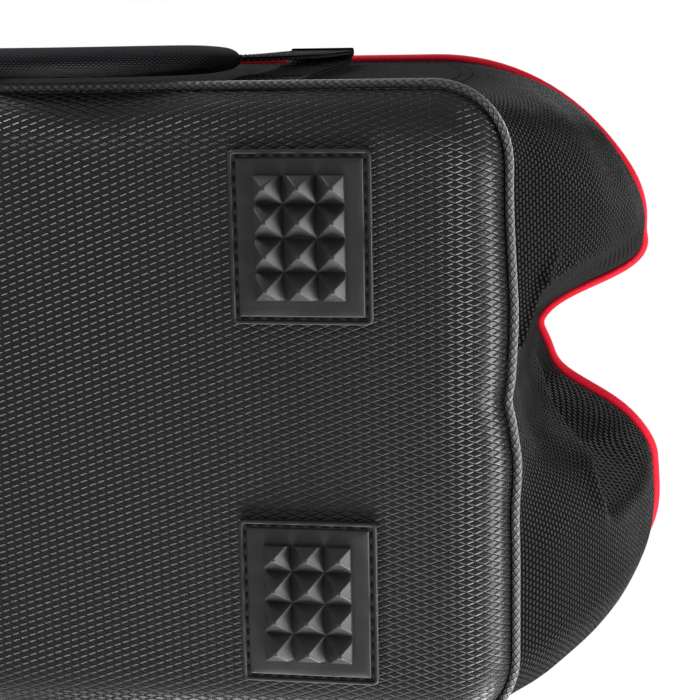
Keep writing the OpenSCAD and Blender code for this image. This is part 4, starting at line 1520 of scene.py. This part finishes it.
def box_and_cross(side, middle_x, start_z, end_z):
    """Stitch runs of a box with a cross on a sewn strap."""
    half = WEBBING_WIDTH / 2 - BOX_INSET
    corners = [(-half, start_z), (half, start_z), (half, end_z), (-half, end_z)]
    lines = list(zip(corners, corners[1:] + corners[:1]))
    lines += [(corners[0], corners[2]), (corners[1], corners[3])]
    runs = []
    for one, other in lines:
        line = [mix(np.array(one), np.array(other), share) for share in np.linspace(0, 1, 8)]
        path = [(middle_x + x, side * (wall_y(z) + STANDOFF + WEBBING), z) for x, z in line]
        runs += stitch_run(path, BOX_STITCH, (0, side, 0))
    return runs


# %% Straps on both long walls
for side, face_name in ((-1, "front"), (1, "back")):
    stitches = []
    for middle_x in (-HANDLE_HALF, HANDLE_HALF):
        strap = sewn_strap(side, middle_x)
        dress(strap, "bag_body", "webbing", f"{face_name}_webbing")
        for start_z, end_z in BOXES:
            stitches += box_and_cross(side, middle_x, start_z, end_z)
    sew(f"{face_name}_strap_stitches", stitches, "bag_body", BOX_STITCH)
print("stitches on each wall's straps:", len(stitches))

# %% [markdown]
# A handle is one strap bent into an arch in its own plane, wrapped by a padded grip. It hangs
# against the wall and swings up about the fold.

# %% Lines of a handle
GRIP_WIDE, GRIP_THICK, GRIP_ANGLE, GRIP_END = 36, 12, 96, 0.80
HANDLE_TOP_Z, LEG_POINTS, EDGE_APART = high("front_handle")[2], 12, 2.5


def handle_bend(degrees):
    """Points round the handle's arch in the plane of X and Z."""
    turns = np.radians(degrees)
    return np.stack([HANDLE_HALF * np.cos(turns), HANDLE_ARCH_Z + HANDLE_HALF * np.sin(turns)], 1)


def handle_line():
    """Middle of the handle's strap in the plane of X and Z: a leg, the arch and a leg."""
    leg = np.linspace(HANDLE_TOP_Z, HANDLE_ARCH_Z, LEG_POINTS, endpoint=False)
    right = np.stack([np.full(LEG_POINTS, HANDLE_HALF), leg], 1)
    left = np.stack([np.full(LEG_POINTS, -HANDLE_HALF), leg[::-1]], 1)
    return np.concatenate([right, handle_bend(np.linspace(0, -180, 49)), left])


def upright(line, y):
    """A line of the plane of X and Z moved to y, with its directions to the side and out."""
    path = np.stack([line[:, 0], np.full(len(line), float(y)), line[:, 1]], 1)
    rise = np.tile((0.0, 1.0, 0.0), (len(path), 1))
    return path, np.cross(rise, directions(path)), rise


# %% Handles, grips and their stitches
grip_line = handle_bend(-90 + np.linspace(GRIP_ANGLE / 2, -GRIP_ANGLE / 2, 33))
grip_section = circle(1, 28) * (GRIP_WIDE / 2, GRIP_THICK / 2)
grip_swell = GRIP_END + (1 - GRIP_END) * (1 - abs(np.linspace(-1, 1, len(grip_line))) ** 8)
for side, face_name in ((-1, "front"), (1, "back")):
    body, y = f"{face_name}_carry_handle", side * FOLD_Y
    strap = sweep(
        f"{face_name}_handle_strap", *upright(handle_line(), y), STRAP_SECTION, strap_weave
    )
    dress(strap, body, "webbing", f"{face_name}_handle")
    grip = sweep(
        f"{face_name}_padded_grip", *upright(grip_line, y), grip_section, grip_weave,
        swell=grip_swell, sharp=70,
    )
    dress(grip, body, "grip_cover", f"{face_name}_grip")
    path, across, _ = upright(handle_line(), y + side * WEBBING / 2)
    stitches = []
    for edge in (-1, 1):
        line = path + across * edge * (WEBBING_WIDTH / 2 - EDGE_APART)
        stitches += stitch_run(line, SEAM_STITCH, (0, side, 0))
    sew(f"{face_name}_handle_stitches", stitches, body, SEAM_STITCH)
print("stitches on each handle:", len(stitches))

# %% [markdown]
# ## Studio
#
# The background is plain white wherever a ray from the camera or a mirror-like reflection leaves
# the bag. The floor is opaque only when it is seen from above, so a camera below it sees the
# underside. Soft lamps stand all round, some below the floor, which lets their light through, so
# that the emboss and the folds show, and some above, as in a product studio.

# %% World
world = bpy.data.worlds.new("studio")
bpy.context.scene.world = world
world.use_nodes = True
world.node_tree.nodes.clear()
flow = Value(world.node_tree)
seen = flow.node("LightPath", output="Is Camera Ray")
ray = seen.socket.node.outputs
mirrored = Value(flow.tree, ray["Is Glossy Ray"]).math(
    "MAXIMUM", Value(flow.tree, ray["Is Transmission Ray"])
)
backdrop = flow.node("Background", {"Color": (1.0, 1.0, 1.0), "Strength": 1.0})
ambient = flow.node("Background", {"Color": (0.92, 0.95, 1.0), "Strength": 0.25})
sky = flow.node("MixShader", {0: seen.math("MAXIMUM", mirrored), 1: ambient, 2: backdrop})
flow.node("OutputWorld", {"Surface": sky})


# %% Lamps
def softbox(name, place, target, size, power):
    """A rectangular lamp that faces a target. Lengths are in millimetres, power is in watts."""
    light = bpy.data.lights.new(name, "AREA")
    light.shape = "RECTANGLE"
    light.size, light.size_y = size[0] * MM, size[1] * MM
    light.energy = power
    lamp = bpy.data.objects.new(name, light)
    bpy.context.scene.collection.objects.link(lamp)
    lamp.location = Vector(place) * MM
    away = Vector(target) - Vector(place)
    lamp.rotation_euler = away.to_track_quat("-Z", "Y").to_euler()
    lamp.visible_camera = False


softbox("low_back", (-20, 900, -330), (60, 0, 10), (380, 360), 11)
softbox("low_corner", (560, 760, -120), (190, -20, 100), (450, 450), 20)
softbox("low_right", (880, 180, -200), (170, 0, 20), (450, 420), 13)
softbox("low_left", (-700, -350, -520), (60, -50, 0), (400, 700), 1.5)
softbox("front_left", (-800, -1100, 180), (-60, -100, 130), (500, 420), 22)
softbox("high_left", (-800, -900, 1100), (0, 0, 120), (900, 900), 26)
softbox("high_right", (1000, -200, 1200), (0, 0, 120), (900, 900), 20)
softbox("high_back", (0, 1200, 900), (0, 0, 120), (900, 700), 14)
print("lamps:", len(bpy.data.lights))

# %% Floor
FLOOR_HALF = 800
floor_corners = [(x, y, 0) for x, y in ((-1, -1), (1, -1), (1, 1), (-1, 1))]
floor_material, flow = start_finish("pale_floor")
paint = flow.node("BsdfDiffuse", {"Color": (0.82, 0.82, 0.82)})
clear = flow.node("BsdfTransparent")
under = flow.node("NewGeometry", output="Backfacing")
eye = flow.node("LightPath", output="Is Camera Ray")
surface = flow.node("MixShader", {0: eye * (1.0 - under), 1: clear, 2: paint})
flow.node("OutputMaterial", {"Surface": surface})
floor = make_piece(
    "floor", np.array(floor_corners) * FLOOR_HALF - (0, 0, 0.05), [(0, 1, 2, 3)], floor_material
)
